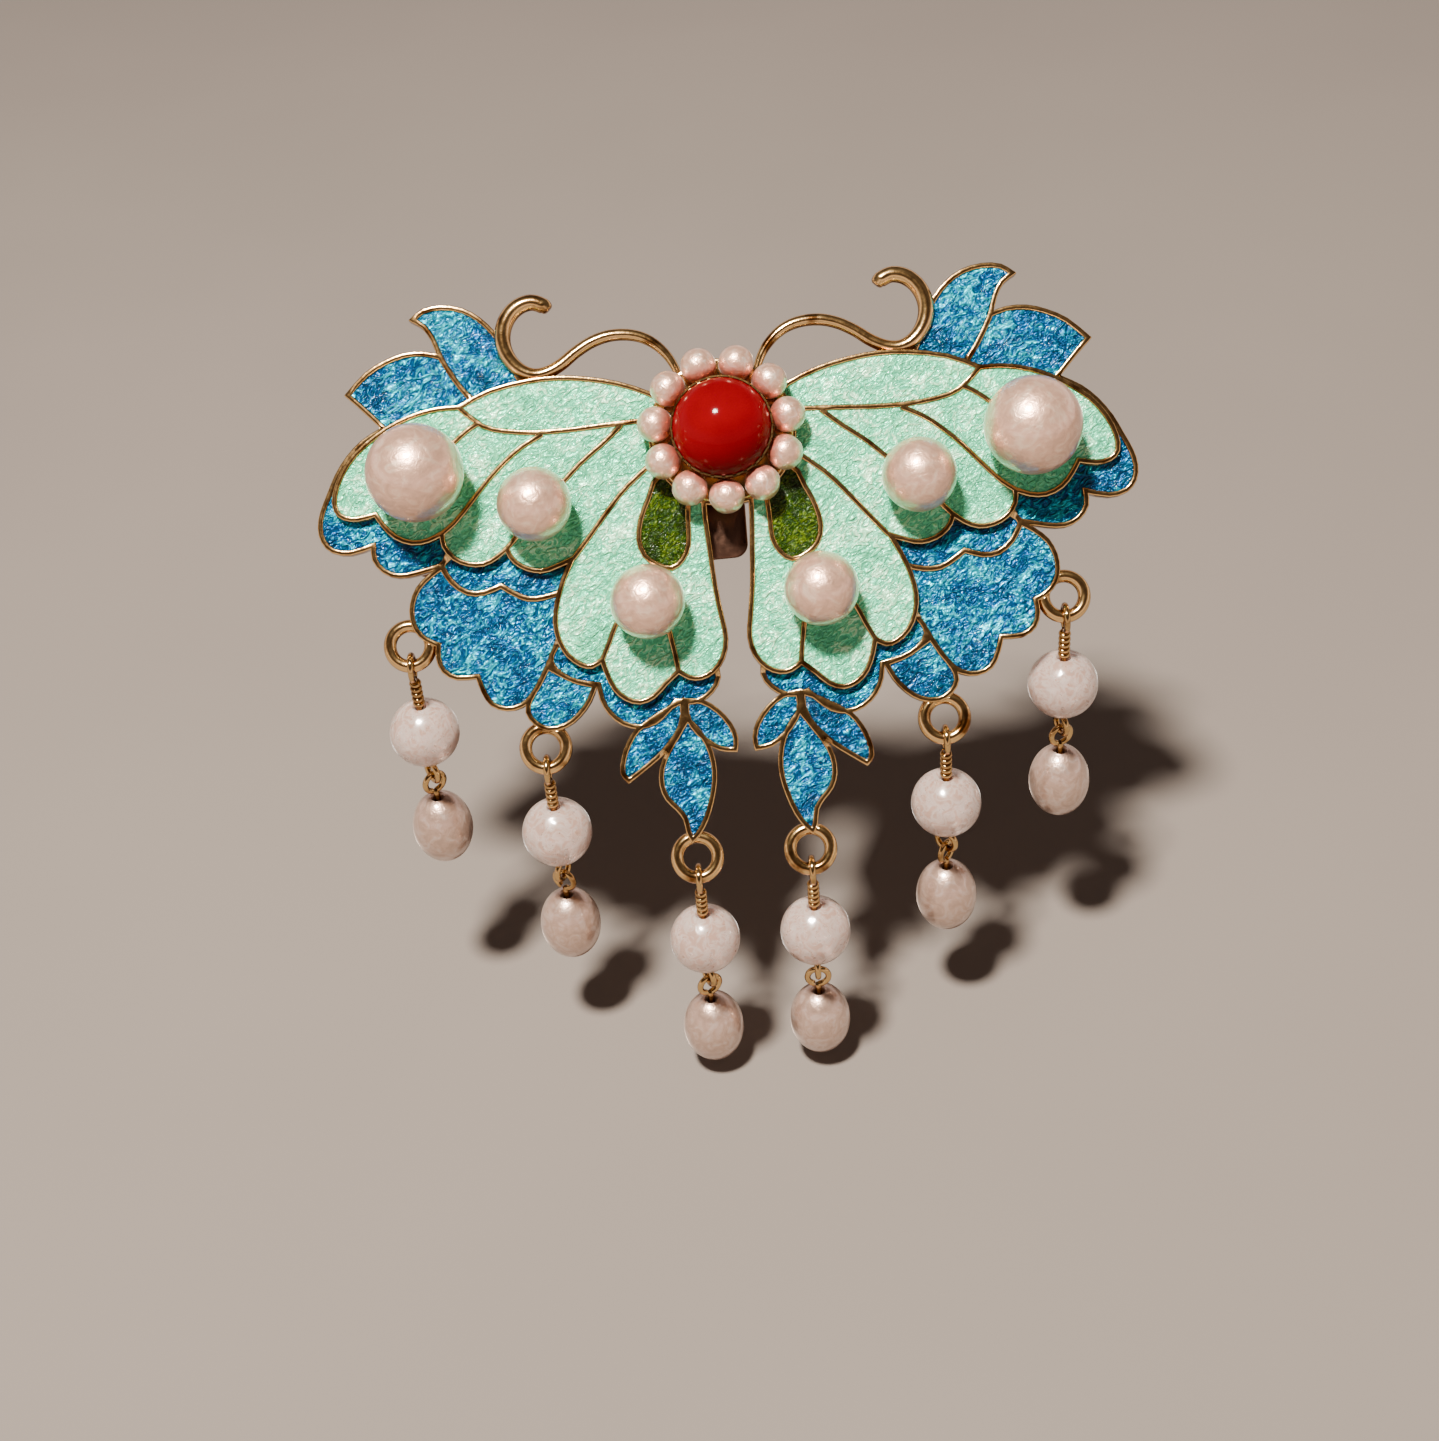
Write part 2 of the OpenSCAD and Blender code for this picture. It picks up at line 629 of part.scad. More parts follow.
module clip_upper_jaw() {
    back = hinge_depth - sheet;
    color(steel) at_hinge() difference() {
        union() {
            translate([0, 0, back]) linear_extrude(sheet) jaw_plan(0);
            for (y = [-outer_ear_y - ear_t, outer_ear_y]) side_plate(y, ear_t) {
                circle(ear_r);
                polygon([
                    [-ear_r, 0], [-ear_foot, back + sheet / 2], [ear_foot, back + sheet / 2],
                    [ear_r, 0],
                ]);
            }
        }
        rotate([90, 0, 0]) cylinder(h = 4 * hinge_half, r = pin_r + seat_play, center = true);
    }
}

module clip_lower_jaw() {
    color(steel) at_hinge() difference() {
        union() {
            intersection() {
                side_plate(-2 * hinge_half, 4 * hinge_half) polygon([
                    for (p = lower_face) p,
                    for (i = [len(lower_face) - 1 : -1 : 0]) lower_face[i] - [0, sheet],
                ]);
                translate([0, 0, -2 * tail_drop]) linear_extrude(3 * tail_drop) jaw_plan(jaw_inset);
            }
            for (y = [-inner_ear_y - ear_t, inner_ear_y]) side_plate(y, ear_t) {
                circle(ear_r);
                polygon([[-ear_r, 0], for (p = inner_ear_foot) p, [ear_r, 0]]);
            }
        }
        rotate([90, 0, 0]) cylinder(h = 4 * hinge_half, r = pin_r + pin_play, center = true);
    }
}

module hinge_pin() {
    reach = outer_ear_y + ear_t;
    color(steel) at_hinge() rotate([90, 0, 0]) {
        cylinder(h = 2 * reach, r = pin_r, center = true);
        for (side = [-1, 1]) translate([0, 0, side * (reach + pin_head_h / 2)])
            cylinder(h = pin_head_h, r = pin_head_r, center = true);
    }
}

// Wire of the coil and of the leg that bears on the upper jaw, bent round the pin in one piece
module spring() {
    steps = coils * turn_steps;
    path = [
        [-leg_len, -coil_len / 2, coil_r],
        for (k = [0 : steps])
            let (a = k * 360 / turn_steps)
            [coil_r * sin(a), coil_len * (k / steps - 0.5), coil_r * cos(a)],
    ];
    last = len(path) - 1;
    sides = spring_sides;
    corners = [
        for (i = [0 : last])
            let (along = unit(path[min(i + 1, last)] - path[max(i - 1, 0)]))
            let (out = unit(cross([0, 1, 0], along)), across = cross(along, out))
            for (k = [0 : sides - 1])
                let (a = k * 360 / sides)
                path[i] + coil_wire_r * (out * cos(a) + across * sin(a))
    ];
    color(steel) at_hinge() polyhedron(corners, tube_faces(last, sides));
}

module spring_leg() {
    bend = lower_face[3];
    tail = unit(lower_face[4] - bend);
    up = [tail[1], -tail[0]];
    start = bend + tail * leg_start + up * (coil_wire_r + leg_play);
    color(steel) at_hinge() translate([start[0], coil_len / 2, start[1]])
        rotate([0, atan2(tail[0], tail[1]), 0]) cylinder(h = leg_len, r = coil_wire_r, $fn = 24);
}

wing_plate();
aqua_enamel(-1);  // aqua_enamel_left
aqua_enamel(1);  // aqua_enamel_right
blue_enamel(-1);  // blue_enamel_left
blue_enamel(1);  // blue_enamel_right
green_enamel(-1);  // green_enamel_left
green_enamel(1);  // green_enamel_right
wing_pearl(outer_at, -1, pearl_outer_r);  // pearl_outer_left
wing_pearl(outer_at, 1, pearl_outer_r);  // pearl_outer_right
wing_pearl(middle_at, -1, pearl_r);  // pearl_middle_left
wing_pearl(middle_at, 1, pearl_r);  // pearl_middle_right
wing_pearl(lower_at, -1, pearl_r);  // pearl_lower_left
wing_pearl(lower_at, 1, pearl_r);  // pearl_lower_right
flower_cup();
red_stone();
for (i = [1 : petals]) petal_pearl(i);
for (i = [1 : len(drops)]) {
    eye_pin(i);
    round_bead(i);
    drop_pin(i);
    oval_bead(i);
}
clip_upper_jaw();
clip_lower_jaw();
hinge_pin();
spring();
spring_leg();
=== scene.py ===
import math

import bmesh
import bpy
from mathutils import Matrix, Vector, noise


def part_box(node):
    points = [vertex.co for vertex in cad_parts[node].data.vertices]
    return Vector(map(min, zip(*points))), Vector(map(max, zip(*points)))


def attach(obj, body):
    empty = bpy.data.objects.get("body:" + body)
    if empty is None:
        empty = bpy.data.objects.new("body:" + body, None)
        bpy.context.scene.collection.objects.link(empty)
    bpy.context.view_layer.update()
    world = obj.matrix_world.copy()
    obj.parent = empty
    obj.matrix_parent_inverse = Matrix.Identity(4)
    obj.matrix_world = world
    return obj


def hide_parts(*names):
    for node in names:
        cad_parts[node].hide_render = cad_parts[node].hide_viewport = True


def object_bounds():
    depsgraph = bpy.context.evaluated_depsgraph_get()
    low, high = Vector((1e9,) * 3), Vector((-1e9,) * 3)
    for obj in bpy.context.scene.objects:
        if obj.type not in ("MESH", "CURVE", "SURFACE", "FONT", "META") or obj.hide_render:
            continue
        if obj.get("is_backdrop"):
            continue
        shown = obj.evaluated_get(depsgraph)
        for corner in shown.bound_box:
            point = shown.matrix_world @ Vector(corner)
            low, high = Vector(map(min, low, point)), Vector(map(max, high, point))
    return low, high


bl_info = {
    "name": "Butterfly hair clip",
    "version": (1, 0, 0),
    "blender": (4, 5, 0),
    "location": "View3D > Sidebar > Hair Clip",
    "description": "Builds the gilt, enamel, pearls, drops and clip of a butterfly hair clip",
    "category": "Object",
}

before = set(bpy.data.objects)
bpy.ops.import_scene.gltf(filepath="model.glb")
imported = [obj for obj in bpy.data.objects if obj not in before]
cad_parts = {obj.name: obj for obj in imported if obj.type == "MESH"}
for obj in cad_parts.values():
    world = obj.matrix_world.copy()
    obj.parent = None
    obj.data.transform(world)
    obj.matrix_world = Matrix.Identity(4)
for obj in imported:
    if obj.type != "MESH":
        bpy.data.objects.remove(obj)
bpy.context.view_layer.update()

# Shapes are worked out in millimetres on the wing plate or at a drop, then set in the row frame in metres.
# The plate lies flat in its own millimetres. It is tipped up by LEAN about GRIP, which comes to the origin.
TO_METRES = Matrix.Scale(0.001, 4)
LEAN = math.radians(50)
GRIP = Vector((0, -7.9, -0.85))
PLATE = TO_METRES @ Matrix.Rotation(LEAN, 4, "X") @ Matrix.Translation(-GRIP)
SIDES = {"left": -1, "right": 1}

# Corners closer than this are joined, in a made shape and in a copy of a CAD node
WELD = 0.0005
CAD_WELD = 0.002

# Heights above the plate's back, and the middle of the stone's seat in the row frame's millimetres
RIM_TOP = 2.0
CUP_DISC_TOP = 2.4
STONE_SEAT = 4.6
BEZEL_TOP = 5.4
FLOWER_MIDDLE = PLATE @ Vector((0, 0, STONE_SEAT)) * 1000

# Middle line of the right antenna: across, up, 1 at an end, radius
ANTENNA = [
    (3.2, 4.4, 1, 0.30), (3.6, 5.9, 0, 0.34), (4.4, 7.3, 0, 0.40), (5.7, 8.5, 0, 0.46),
    (7.2, 9.1, 0, 0.50), (9.0, 9.2, 0, 0.52), (10.6, 8.8, 0, 0.52), (12.1, 8.0, 0, 0.52),
    (13.5, 7.0, 0, 0.54), (14.8, 6.4, 0, 0.56), (16.0, 6.3, 0, 0.60), (17.2, 6.9, 0, 0.64),
    (18.1, 8.1, 0, 0.68), (18.4, 9.6, 0, 0.70), (18.0, 11.1, 0, 0.72), (17.0, 12.2, 0, 0.72),
    (15.7, 12.6, 0, 0.70), (14.6, 12.2, 0, 0.68), (14.2, 11.8, 1, 0.48),
]
ANTENNA_HEIGHT = 1.2
ANTENNA_STEPS = 5
# Shares of a row's radius: the whole rod's, and its last point's on top of that
ANTENNA_GIRTH = 1.03
ANTENNA_TIP = 0.7

# Radii of the pearls on a wing, and depths of the flats that pearls rest on
WING_PEARLS = {"outer": 4.2, "middle": 3.2, "lower": 3.2}
WING_PEARL_FLAT = 0.3
PETAL_PEARL_FLAT = 0.1
PETAL_PEARLS = range(1, 12)

# The bezel's outer radius and wall. A tooth's height, the share of its step that it fills, the share of the
# radius that its tip is drawn in to, and the rounding of its edges
BEZEL_RADIUS = 4.39
BEZEL_WALL = 0.14
TOOTH_HEIGHT = 0.22
TOOTH_SHARE = 0.64
TOOTH_DRAWN_IN = 0.992
TOOTH_ROUND = 0.04

# Rounding of the hinge rivet's edges
RIVET_ROUND = 0.08

# The stone's radius, and the heights of its straight side and of its dome
STONE_RADIUS = 4.23
STONE_GIRDLE = 0.6
STONE_DOME = 2.9

# How strongly the red stone's painted reflection shows on a petal pearl near the flower, and the distances
# from the flower's middle between which it fades
PAINTED_REFLECTION_SHARE = 0.8
PAINTED_REFLECTION_FADE = (4.6, 5.9)

# Turn in degrees of the lower eye between each drop's beads, from the left. The upper stands square to it.
DROP_TURNS = [35, -30, 25, 0, 50, 20]
DROPS = range(1, len(DROP_TURNS) + 1)

# Heights of a drop's eyes and beads. Zero is the middle of the cast ring's wire where the ring is lowest.
TOP_EYE = -0.16
BEAD = -7.4
UPPER_EYE = -11.98
LOWER_EYE = -13.26
OVAL = -18.59

# Radii of the eyes and of the pin's ball, an eye's opening in degrees, and half an oval bead's length
TOP_EYE_RADIUS = 1.1
EYE_RADIUS = 0.95
BALL_RADIUS = 0.55
EYE_OPENING = 24.0
OVAL_HALF = 3.7

# Width and depth of the sloped mouth of a bead's hole
HOLE_EASE_WIDTH = 0.25
HOLE_EASE_DEPTH = 0.3

# The stage in metres: the lamp, the camera's degrees round, up and rolled and its metres back, aside and up,
# the floor's gap below the lowest drop and half its width
LAMP_SPOT = Vector((-0.113, -0.172, 0.563))
LAMP_SIZE = 0.08
CAMERA_ANGLES = (0.921, 39.132, 4.924)
CAMERA_OFFSETS = (0.192289, -0.000863, -0.016949)
FLOOR_GAP = 0.0005
FLOOR_HALF = 2.0

WHITE = (1.0, 1.0, 1.0)
LAMP_COLOUR = (1.0, 0.92, 0.82)
ROOM_COLOUR = (1.0, 0.77, 0.68, 1)

# Places of the colours among the sockets of a node that mixes colours
MIX_UNDER, MIX_OVER, MIX_RESULT = 6, 7, 2


class GiltLook(bpy.types.PropertyGroup):
    """Finish of the gilt castings, rims and wire"""
    colour: bpy.props.FloatVectorProperty(
        name="Gilt", description="Colour of the polished gilding", subtype="COLOR",
        size=3, min=0, max=1, default=(0.95, 0.64, 0.27))
    # The dark colour of random darker patches, and also of the painted shade on walls and flat tops
    shade: bpy.props.FloatVectorProperty(
        name="Shade", description="Colour of the gilding where it has darkened", subtype="COLOR",
        size=3, min=0, max=1, default=(0.20, 0.08, 0.02))
    roughness: bpy.props.FloatProperty(
        name="Roughness", description="Blur of what the gilding reflects", subtype="FACTOR",
        min=0, max=1, default=0.16)
    rim_round: bpy.props.FloatProperty(
        name="Rim rounding", description="Rounding of the rims between the panes",
        subtype="DISTANCE", unit="LENGTH", precision=5, min=0, max=0.0002, default=0.0001)


class EnamelLook(bpy.types.PropertyGroup):
    """Colours and foil of the three enamels"""
    aqua: bpy.props.FloatVectorProperty(
        name="Aqua", description="Colour of the upper wings' enamel", subtype="COLOR",
        size=3, min=0, max=1, default=(0.12, 0.78, 0.42))
    blue: bpy.props.FloatVectorProperty(
        name="Blue", description="Colour of the lower wings' enamel", subtype="COLOR",
        size=3, min=0, max=1, default=(0.0, 0.105, 0.30))
    green: bpy.props.FloatVectorProperty(
        name="Green", description="Colour of the two leaves' enamel", subtype="COLOR",
        size=3, min=0, max=1, default=(0.012, 0.050, 0.0))
    crinkle: bpy.props.FloatProperty(
        name="Crinkle", description="Size of a crinkle in the foil under the enamel",
        subtype="DISTANCE", unit="LENGTH", precision=5, min=0.0001, max=0.002, default=0.00065)


class PearlLook(bpy.types.PropertyGroup):
    """Finish of the pearls on the wings and round the flower"""
    body: bpy.props.FloatVectorProperty(
        name="Body", description="Colour of the nacre", subtype="COLOR",
        size=3, min=0, max=1, default=(0.98, 0.71, 0.53))
    bloom: bpy.props.FloatVectorProperty(
        name="Bloom", description="Pink bloom in the nacre", subtype="COLOR",
        size=3, min=0, max=1, default=(0.86, 0.52, 0.37))
    unevenness: bpy.props.FloatProperty(
        name="Unevenness", description="How far a pearl's surface wanders from round",
        subtype="DISTANCE", unit="LENGTH", precision=5, min=0, max=0.0001, default=0.00002)


class FlowerLook(bpy.types.PropertyGroup):
    """The flower's toothed bezel and red stone"""
    stone: bpy.props.FloatVectorProperty(
        name="Stone", description="Colour of the red stone", subtype="COLOR",
        size=3, min=0, max=1, default=(0.15, 0.0, 0.003))
    stone_deep: bpy.props.FloatVectorProperty(
        name="Stone, deep", description="Colour deep in the red stone", subtype="COLOR",
        size=3, min=0, max=1, default=(0.10, 0.0, 0.002))
    teeth: bpy.props.IntProperty(
        name="Teeth", description="Number of teeth that hold the stone", min=12, max=48, default=28)


class DropLook(bpy.types.PropertyGroup):
    """Beads and wire of the six drops"""
    bead: bpy.props.FloatVectorProperty(
        name="Round bead", description="Colour of the milky round beads", subtype="COLOR",
        size=3, min=0, max=1, default=(0.64, 0.42, 0.33))
    oval: bpy.props.FloatVectorProperty(
        name="Oval bead", description="Colour of the pearly oval beads", subtype="COLOR",
        size=3, min=0, max=1, default=(0.60, 0.40, 0.31))
    bead_radius: bpy.props.FloatProperty(
        name="Bead radius", description="Radius of a round bead", subtype="DISTANCE",
        unit="LENGTH", precision=5, min=0.0025, max=0.0032, default=0.0031)
    oval_radius: bpy.props.FloatProperty(
        name="Oval radius", description="Radius of an oval bead", subtype="DISTANCE",
        unit="LENGTH", precision=5, min=0.002, max=0.0028, default=0.00275)
    hole_radius: bpy.props.FloatProperty(
        name="Hole radius", description="Radius of the hole through a bead", subtype="DISTANCE",
        unit="LENGTH", precision=5, min=0.0003, max=0.0006, default=0.00045)
    wire_radius: bpy.props.FloatProperty(
        name="Wire radius", description="Radius of the pins' wire", subtype="DISTANCE",
        unit="LENGTH", precision=5, min=0.0002, max=0.0003, default=0.00028)


class ClipLook(bpy.types.PropertyGroup):
    """Finish of the duckbill clip behind the wings"""
    # The clip's colour is a deep brown as painted shade: the plated metal is darkened for the shadow it lies
    # in behind the wings.
    metal: bpy.props.FloatVectorProperty(
        name="Clip metal", description="Colour of the clip's plated steel", subtype="COLOR",
        size=3, min=0, max=1, default=(0.21, 0.115, 0.08))
    spring: bpy.props.FloatVectorProperty(
        name="Spring", description="Colour of the spring's wire", subtype="COLOR",
        size=3, min=0, max=1, default=(0.55, 0.53, 0.50))
    edge_round: bpy.props.FloatProperty(
        name="Edge rounding", description="Rounding of the sheet metal's edges",
        subtype="DISTANCE", unit="LENGTH", precision=5, min=0, max=0.0003, default=0.00015)


class StageLook(bpy.types.PropertyGroup):
    """Floor, lights and camera"""
    floor: bpy.props.FloatVectorProperty(
        name="Floor", description="Colour of the plain floor", subtype="COLOR",
        size=3, min=0, max=1, default=(0.20, 0.172, 0.153))
    key_power: bpy.props.FloatProperty(
        name="Key light", description="Power of the light overhead", unit="POWER",
        min=0, max=200, default=14)
    horizon: bpy.props.FloatProperty(
        name="Horizon", description="Brightness of the room near the floor", subtype="FACTOR",
        min=0, max=4, default=1.0)
    ceiling: bpy.props.FloatProperty(
        name="Ceiling", description="Brightness of the room overhead", subtype="FACTOR",
        min=0, max=4, default=0.08)
    focal_length: bpy.props.FloatProperty(
        name="Focal length", description="Focal length of the camera in millimetres",
        min=20, max=200, default=54.96)


LOOKS = {
    "gilt": GiltLook,
    "enamel": EnamelLook,
    "pearl": PearlLook,
    "flower": FlowerLook,
    "drop": DropLook,
    "clip": ClipLook,
    "stage": StageLook,
}


class HairClipLook(bpy.types.PropertyGroup):
    """Everything that can be changed on the hair clip"""
    gilt: bpy.props.PointerProperty(type=GiltLook)
    enamel: bpy.props.PointerProperty(type=EnamelLook)
    pearl: bpy.props.PointerProperty(type=PearlLook)
    flower: bpy.props.PointerProperty(type=FlowerLook)
    drop: bpy.props.PointerProperty(type=DropLook)
    clip: bpy.props.PointerProperty(type=ClipLook)
    stage: bpy.props.PointerProperty(type=StageLook)


def look():
    return bpy.context.scene.hair_clip


# Materials

class Recipe:
    """A material's node tree, with short calls to add nodes and join them."""

    def __init__(self, name):
        self.material = bpy.data.materials.new(name)
        self.material.use_nodes = True
        self.tree = self.material.node_tree
        self.shader = self.tree.nodes["Principled BSDF"]
        place = self.add("ShaderNodeTexCoord")
        self.millimetres = self.add("ShaderNodeMapping")
        self.millimetres.inputs["Scale"].default_value = (1000, 1000, 1000)
        self.join(place.outputs["Object"], self.millimetres.inputs["Vector"])

    def add(self, kind, settings=None, **sockets):
        node = self.tree.nodes.new(kind)
        for name, value in (settings or {}).items():
            setattr(node, name, value)
        for name, value in sockets.items():
            node.inputs[name.replace("_", " ")].default_value = value
        return node

    def join(self, output, socket):
        self.tree.links.new(output, socket)

    def set(self, **sockets):
        """Sets the shader's sockets, named with an underscore for a space."""
        for name, value in sockets.items():
            self.shader.inputs[name.replace("_", " ")].default_value = value

    def feed(self, **outputs):
        """Joins outputs to the shader's sockets, named with an underscore for a space."""
        for name, output in outputs.items():
            self.join(output, self.shader.inputs[name.replace("_", " ")])

    def noise(self, size, detail, distortion=0.0, where=None):
        node = self.add("ShaderNodeTexNoise", Scale=1 / size, Detail=detail, Distortion=distortion)
        self.join((where or self.millimetres).outputs["Vector"], node.inputs["Vector"])
        return node.outputs["Fac"]

    def grain(self, degrees, stretch):
        """Millimetres stretched along a direction in the wing plate."""
        node = self.add("ShaderNodeMapping", {"vector_type": "TEXTURE"})
        turn = Matrix.Rotation(LEAN, 3, "X") @ Matrix.Rotation(math.radians(degrees), 3, "Z")
        node.inputs["Rotation"].default_value = turn.to_euler()
        node.inputs["Scale"].default_value = (stretch, 1, 1)
        self.join(self.millimetres.outputs["Vector"], node.inputs["Vector"])
        return node

    def from_flower(self):
        """Distance in millimetres from the middle of the flower."""
        node = self.add("ShaderNodeVectorMath", {"operation": "DISTANCE"})
        node.inputs[1].default_value = FLOWER_MIDDLE
        self.join(self.millimetres.outputs["Vector"], node.inputs[0])
        return node.outputs["Value"]

    def ramp(self, source, stops):
        node = self.add("ShaderNodeValToRGB")
        elements = node.color_ramp.elements
        while len(elements) < len(stops):
            elements.new(0.5)
        for element, (place, colour) in zip(elements, stops):
            element.position = place
            element.color = (*colour, 1) if len(colour) == 3 else (colour[0],) * 3 + (1,)
        self.join(source, node.inputs["Fac"])
        return node.outputs["Color"]

    def spread(self, source, low, high, start=0.0, stop=1.0):
        """Carries what lies from start to stop over to low and high."""
        node = self.add("ShaderNodeMapRange", From_Min=start, From_Max=stop, To_Min=low, To_Max=high)
        self.join(source, node.inputs["Value"])
        return node.outputs["Result"]

    def lay(self, factor, under, over, blend="MIX"):
        """A colour laid over an output, as far as the factor says."""
        node = self.add("ShaderNodeMix", {"data_type": "RGBA", "blend_type": blend})
        self.join(factor, node.inputs["Factor"])
        self.join(under, node.inputs[MIX_UNDER])
        node.inputs[MIX_OVER].default_value = (*over, 1)
        return node.outputs[MIX_RESULT]

    def bump(self, height, depth, strength=1.0):
        node = self.add("ShaderNodeBump", Strength=strength, Distance=depth)
        self.join(height, node.inputs["Height"])
        return node.outputs["Normal"]

    def facing(self):
        """How squarely a surface faces the front or back of the wing plate, from 0 to 1."""
        surface = self.add("ShaderNodeTexCoord")
        across = self.add("ShaderNodeVectorMath", {"operation": "DOT_PRODUCT"})
        across.inputs[1].default_value = (0, -math.sin(LEAN), math.cos(LEAN))
        self.join(surface.outputs["Normal"], across.inputs[0])
        size = self.add("ShaderNodeMath", {"operation": "ABSOLUTE"})
        self.join(across.outputs["Value"], size.inputs[0])
        return size.outputs["Value"]


def tint(colour, factor):
    return tuple(min(1.0, c * factor) for c in colour)


def towards(colour, other, share):
    return tuple(a * (1 - share) + b * share for a, b in zip(colour, other))


def gilt_material(name, colour, shade, roughness):
    """Cast, polished metal, darker in a soft cloud, with painted shade on walls and flat tops that leaves
    rounded edges bright.
    """
    r = Recipe(name)
    cloud = r.ramp(r.noise(2.4, detail=4), [(0.30, shade), (0.46, colour), (1.0, colour)])
    # Painted shade: the dark colour is laid over walls that stand across the plate and partly over flat tops
    # square to it, by how they face alone.
    painted_shade_by_facing = r.ramp(r.facing(), [(0.25, (1,)), (0.60, (0,)), (0.94, (0,)), (0.99, (0.65,))])
    r.set(Metallic=1.0, Specular_IOR_Level=0.5)
    r.feed(Base_Color=r.lay(painted_shade_by_facing, cloud, shade),
           Roughness=r.spread(r.noise(0.5, detail=5), roughness * 0.6, roughness * 1.5),
           Normal=r.bump(r.noise(0.35, detail=3), 0.00003, 0.4))
    return r.material


def enamel_material(name, colour, pale, deep, size, glint, relief):
    """Clear coloured glass over crinkled foil: pools of tone, worm-like crinkles with painted shade beside
    them, and painted glints of the pale colour laid in patches.
    """
    r = Recipe(name)
    crinkle = r.noise(size, detail=2, distortion=1.8, where=r.grain(35, 1.7))
    pool = r.noise(size * 6, detail=4, distortion=1.4)
    under = r.ramp(pool, [(0.36, deep), (0.52, colour), (0.70, towards(colour, pale, 0.3))])
    # Painted shade: a dark line beside each crinkle's ridge, as if the ridge were lit from one side.
    painted_crinkle_shade = r.ramp(crinkle, [(0.38, (0.3,)), (0.46, (1,)), (0.50, (0,))])
    shadow = towards((0.15, 0.3, 0.4), WHITE, 1 - relief)
    # Painted glints: the pale colour laid on the crinkles' ridges, more where the pools are light.
    painted_glints = r.add("ShaderNodeMath", {"operation": "MULTIPLY"})
    r.join(r.ramp(crinkle, [(0.52, (0,)), (0.57, (1,)), (0.66, (0.4,))]), painted_glints.inputs[0])
    r.join(r.ramp(pool, [(0.42, (0.1,)), (0.60, (1,))]), painted_glints.inputs[1])
    r.set(Metallic=glint, Specular_IOR_Level=0.25, Coat_Weight=0.3, Coat_Roughness=0.06, Coat_IOR=1.45)
    r.feed(Base_Color=r.lay(painted_glints.outputs["Value"], r.lay(painted_crinkle_shade, under, shadow, "MULTIPLY"), pale),
           Roughness=r.spread(pool, 0.22, 0.42),
           Normal=r.bump(crinkle, 0.0008 * relief),
           Coat_Normal=r.bump(crinkle, 0.0005 * relief))
    return r.material


def pearl_material(name, body, bloom, size, painted_stone_reflection=None, haze=0.1):
    """Nacre: cream mottled with pink, with a thin film's colours and, if asked, a painted reflection of the
    red stone near the flower.
    """
    r = Recipe(name)
    mottle = r.noise(size, detail=5, distortion=1.6)
    nacre = r.ramp(mottle, [(0.34, tint(bloom, 0.85)), (0.50, bloom), (0.68, body)])
    # Painted reflection: a red tint laid on near the flower, where the stone would be mirrored in the pearl.
    if painted_stone_reflection:
        nacre = r.lay(r.spread(r.from_flower(), PAINTED_REFLECTION_SHARE, 0.0, *PAINTED_REFLECTION_FADE), nacre, painted_stone_reflection)
    r.set(Metallic=0.7, Coat_Weight=1.0, Coat_Roughness=haze, Coat_IOR=1.8, Sheen_Weight=0.5,
          Sheen_Roughness=0.25, Sheen_Tint=(1.0, 0.82, 0.72, 1), Thin_Film_Thickness=420.0,
          Thin_Film_IOR=1.7, IOR=1.6)
    r.feed(Base_Color=nacre,
           Roughness=r.spread(r.noise(size * 0.4, detail=4), 0.28, 0.42),
           Normal=r.bump(r.noise(size * 0.5, detail=4, distortion=0.8), 0.00016, 0.4),
           Coat_Normal=r.bump(mottle, 0.00006, 0.3))
    return r.material


def stone_material(name, colour, deep):
    """Polished red glass with a darker cloud in it."""
    r = Recipe(name)
    r.set(Subsurface_Weight=0.1, Subsurface_Scale=0.0015, Specular_IOR_Level=0.08)
    r.feed(Base_Color=r.ramp(r.noise(5.0, detail=2), [(0.3, deep), (0.65, colour)]),
           Roughness=r.spread(r.noise(0.8, detail=4), 0.06, 0.12),
           Normal=r.bump(r.noise(2.0, detail=2), 0.00003, 0.1))
    return r.material


def bead_material(name, colour, pale, haze, size):
    """Milky, half clear moulded resin with cloudy patches, an uneven skin and a pale edge."""
    r = Recipe(name)
    cloud = r.noise(size, detail=5, distortion=2.0)
    uneven = r.bump(r.noise(size * 1.4, detail=1, distortion=1.0), 0.0003, 0.3)
    r.set(Coat_Weight=1.0, Coat_Roughness=0.17, Coat_IOR=2.1, Subsurface_Weight=0.4,
          Subsurface_Scale=0.0015, Subsurface_Radius=(1.0, 0.75, 0.65), Transmission_Weight=0.45,
          Sheen_Weight=0.5, Sheen_Roughness=0.2, IOR=1.4)
    r.feed(Base_Color=r.ramp(cloud, [(0.38, colour), (0.50, pale), (0.62, colour)]),
           Roughness=r.spread(r.noise(size * 0.4, detail=4), haze * 0.7, haze * 1.3),
           Normal=uneven, Coat_Normal=uneven)
    return r.material


def floor_material(name, colour):
    """Matt paper with a barely uneven tone."""
    r = Recipe(name)
    r.set(Roughness=0.9, Specular_IOR_Level=0.2)
    r.feed(Base_Color=r.ramp(r.noise(60, detail=2), [(0.4, tint(colour, 0.97)), (0.6, colour)]))
    return r.material


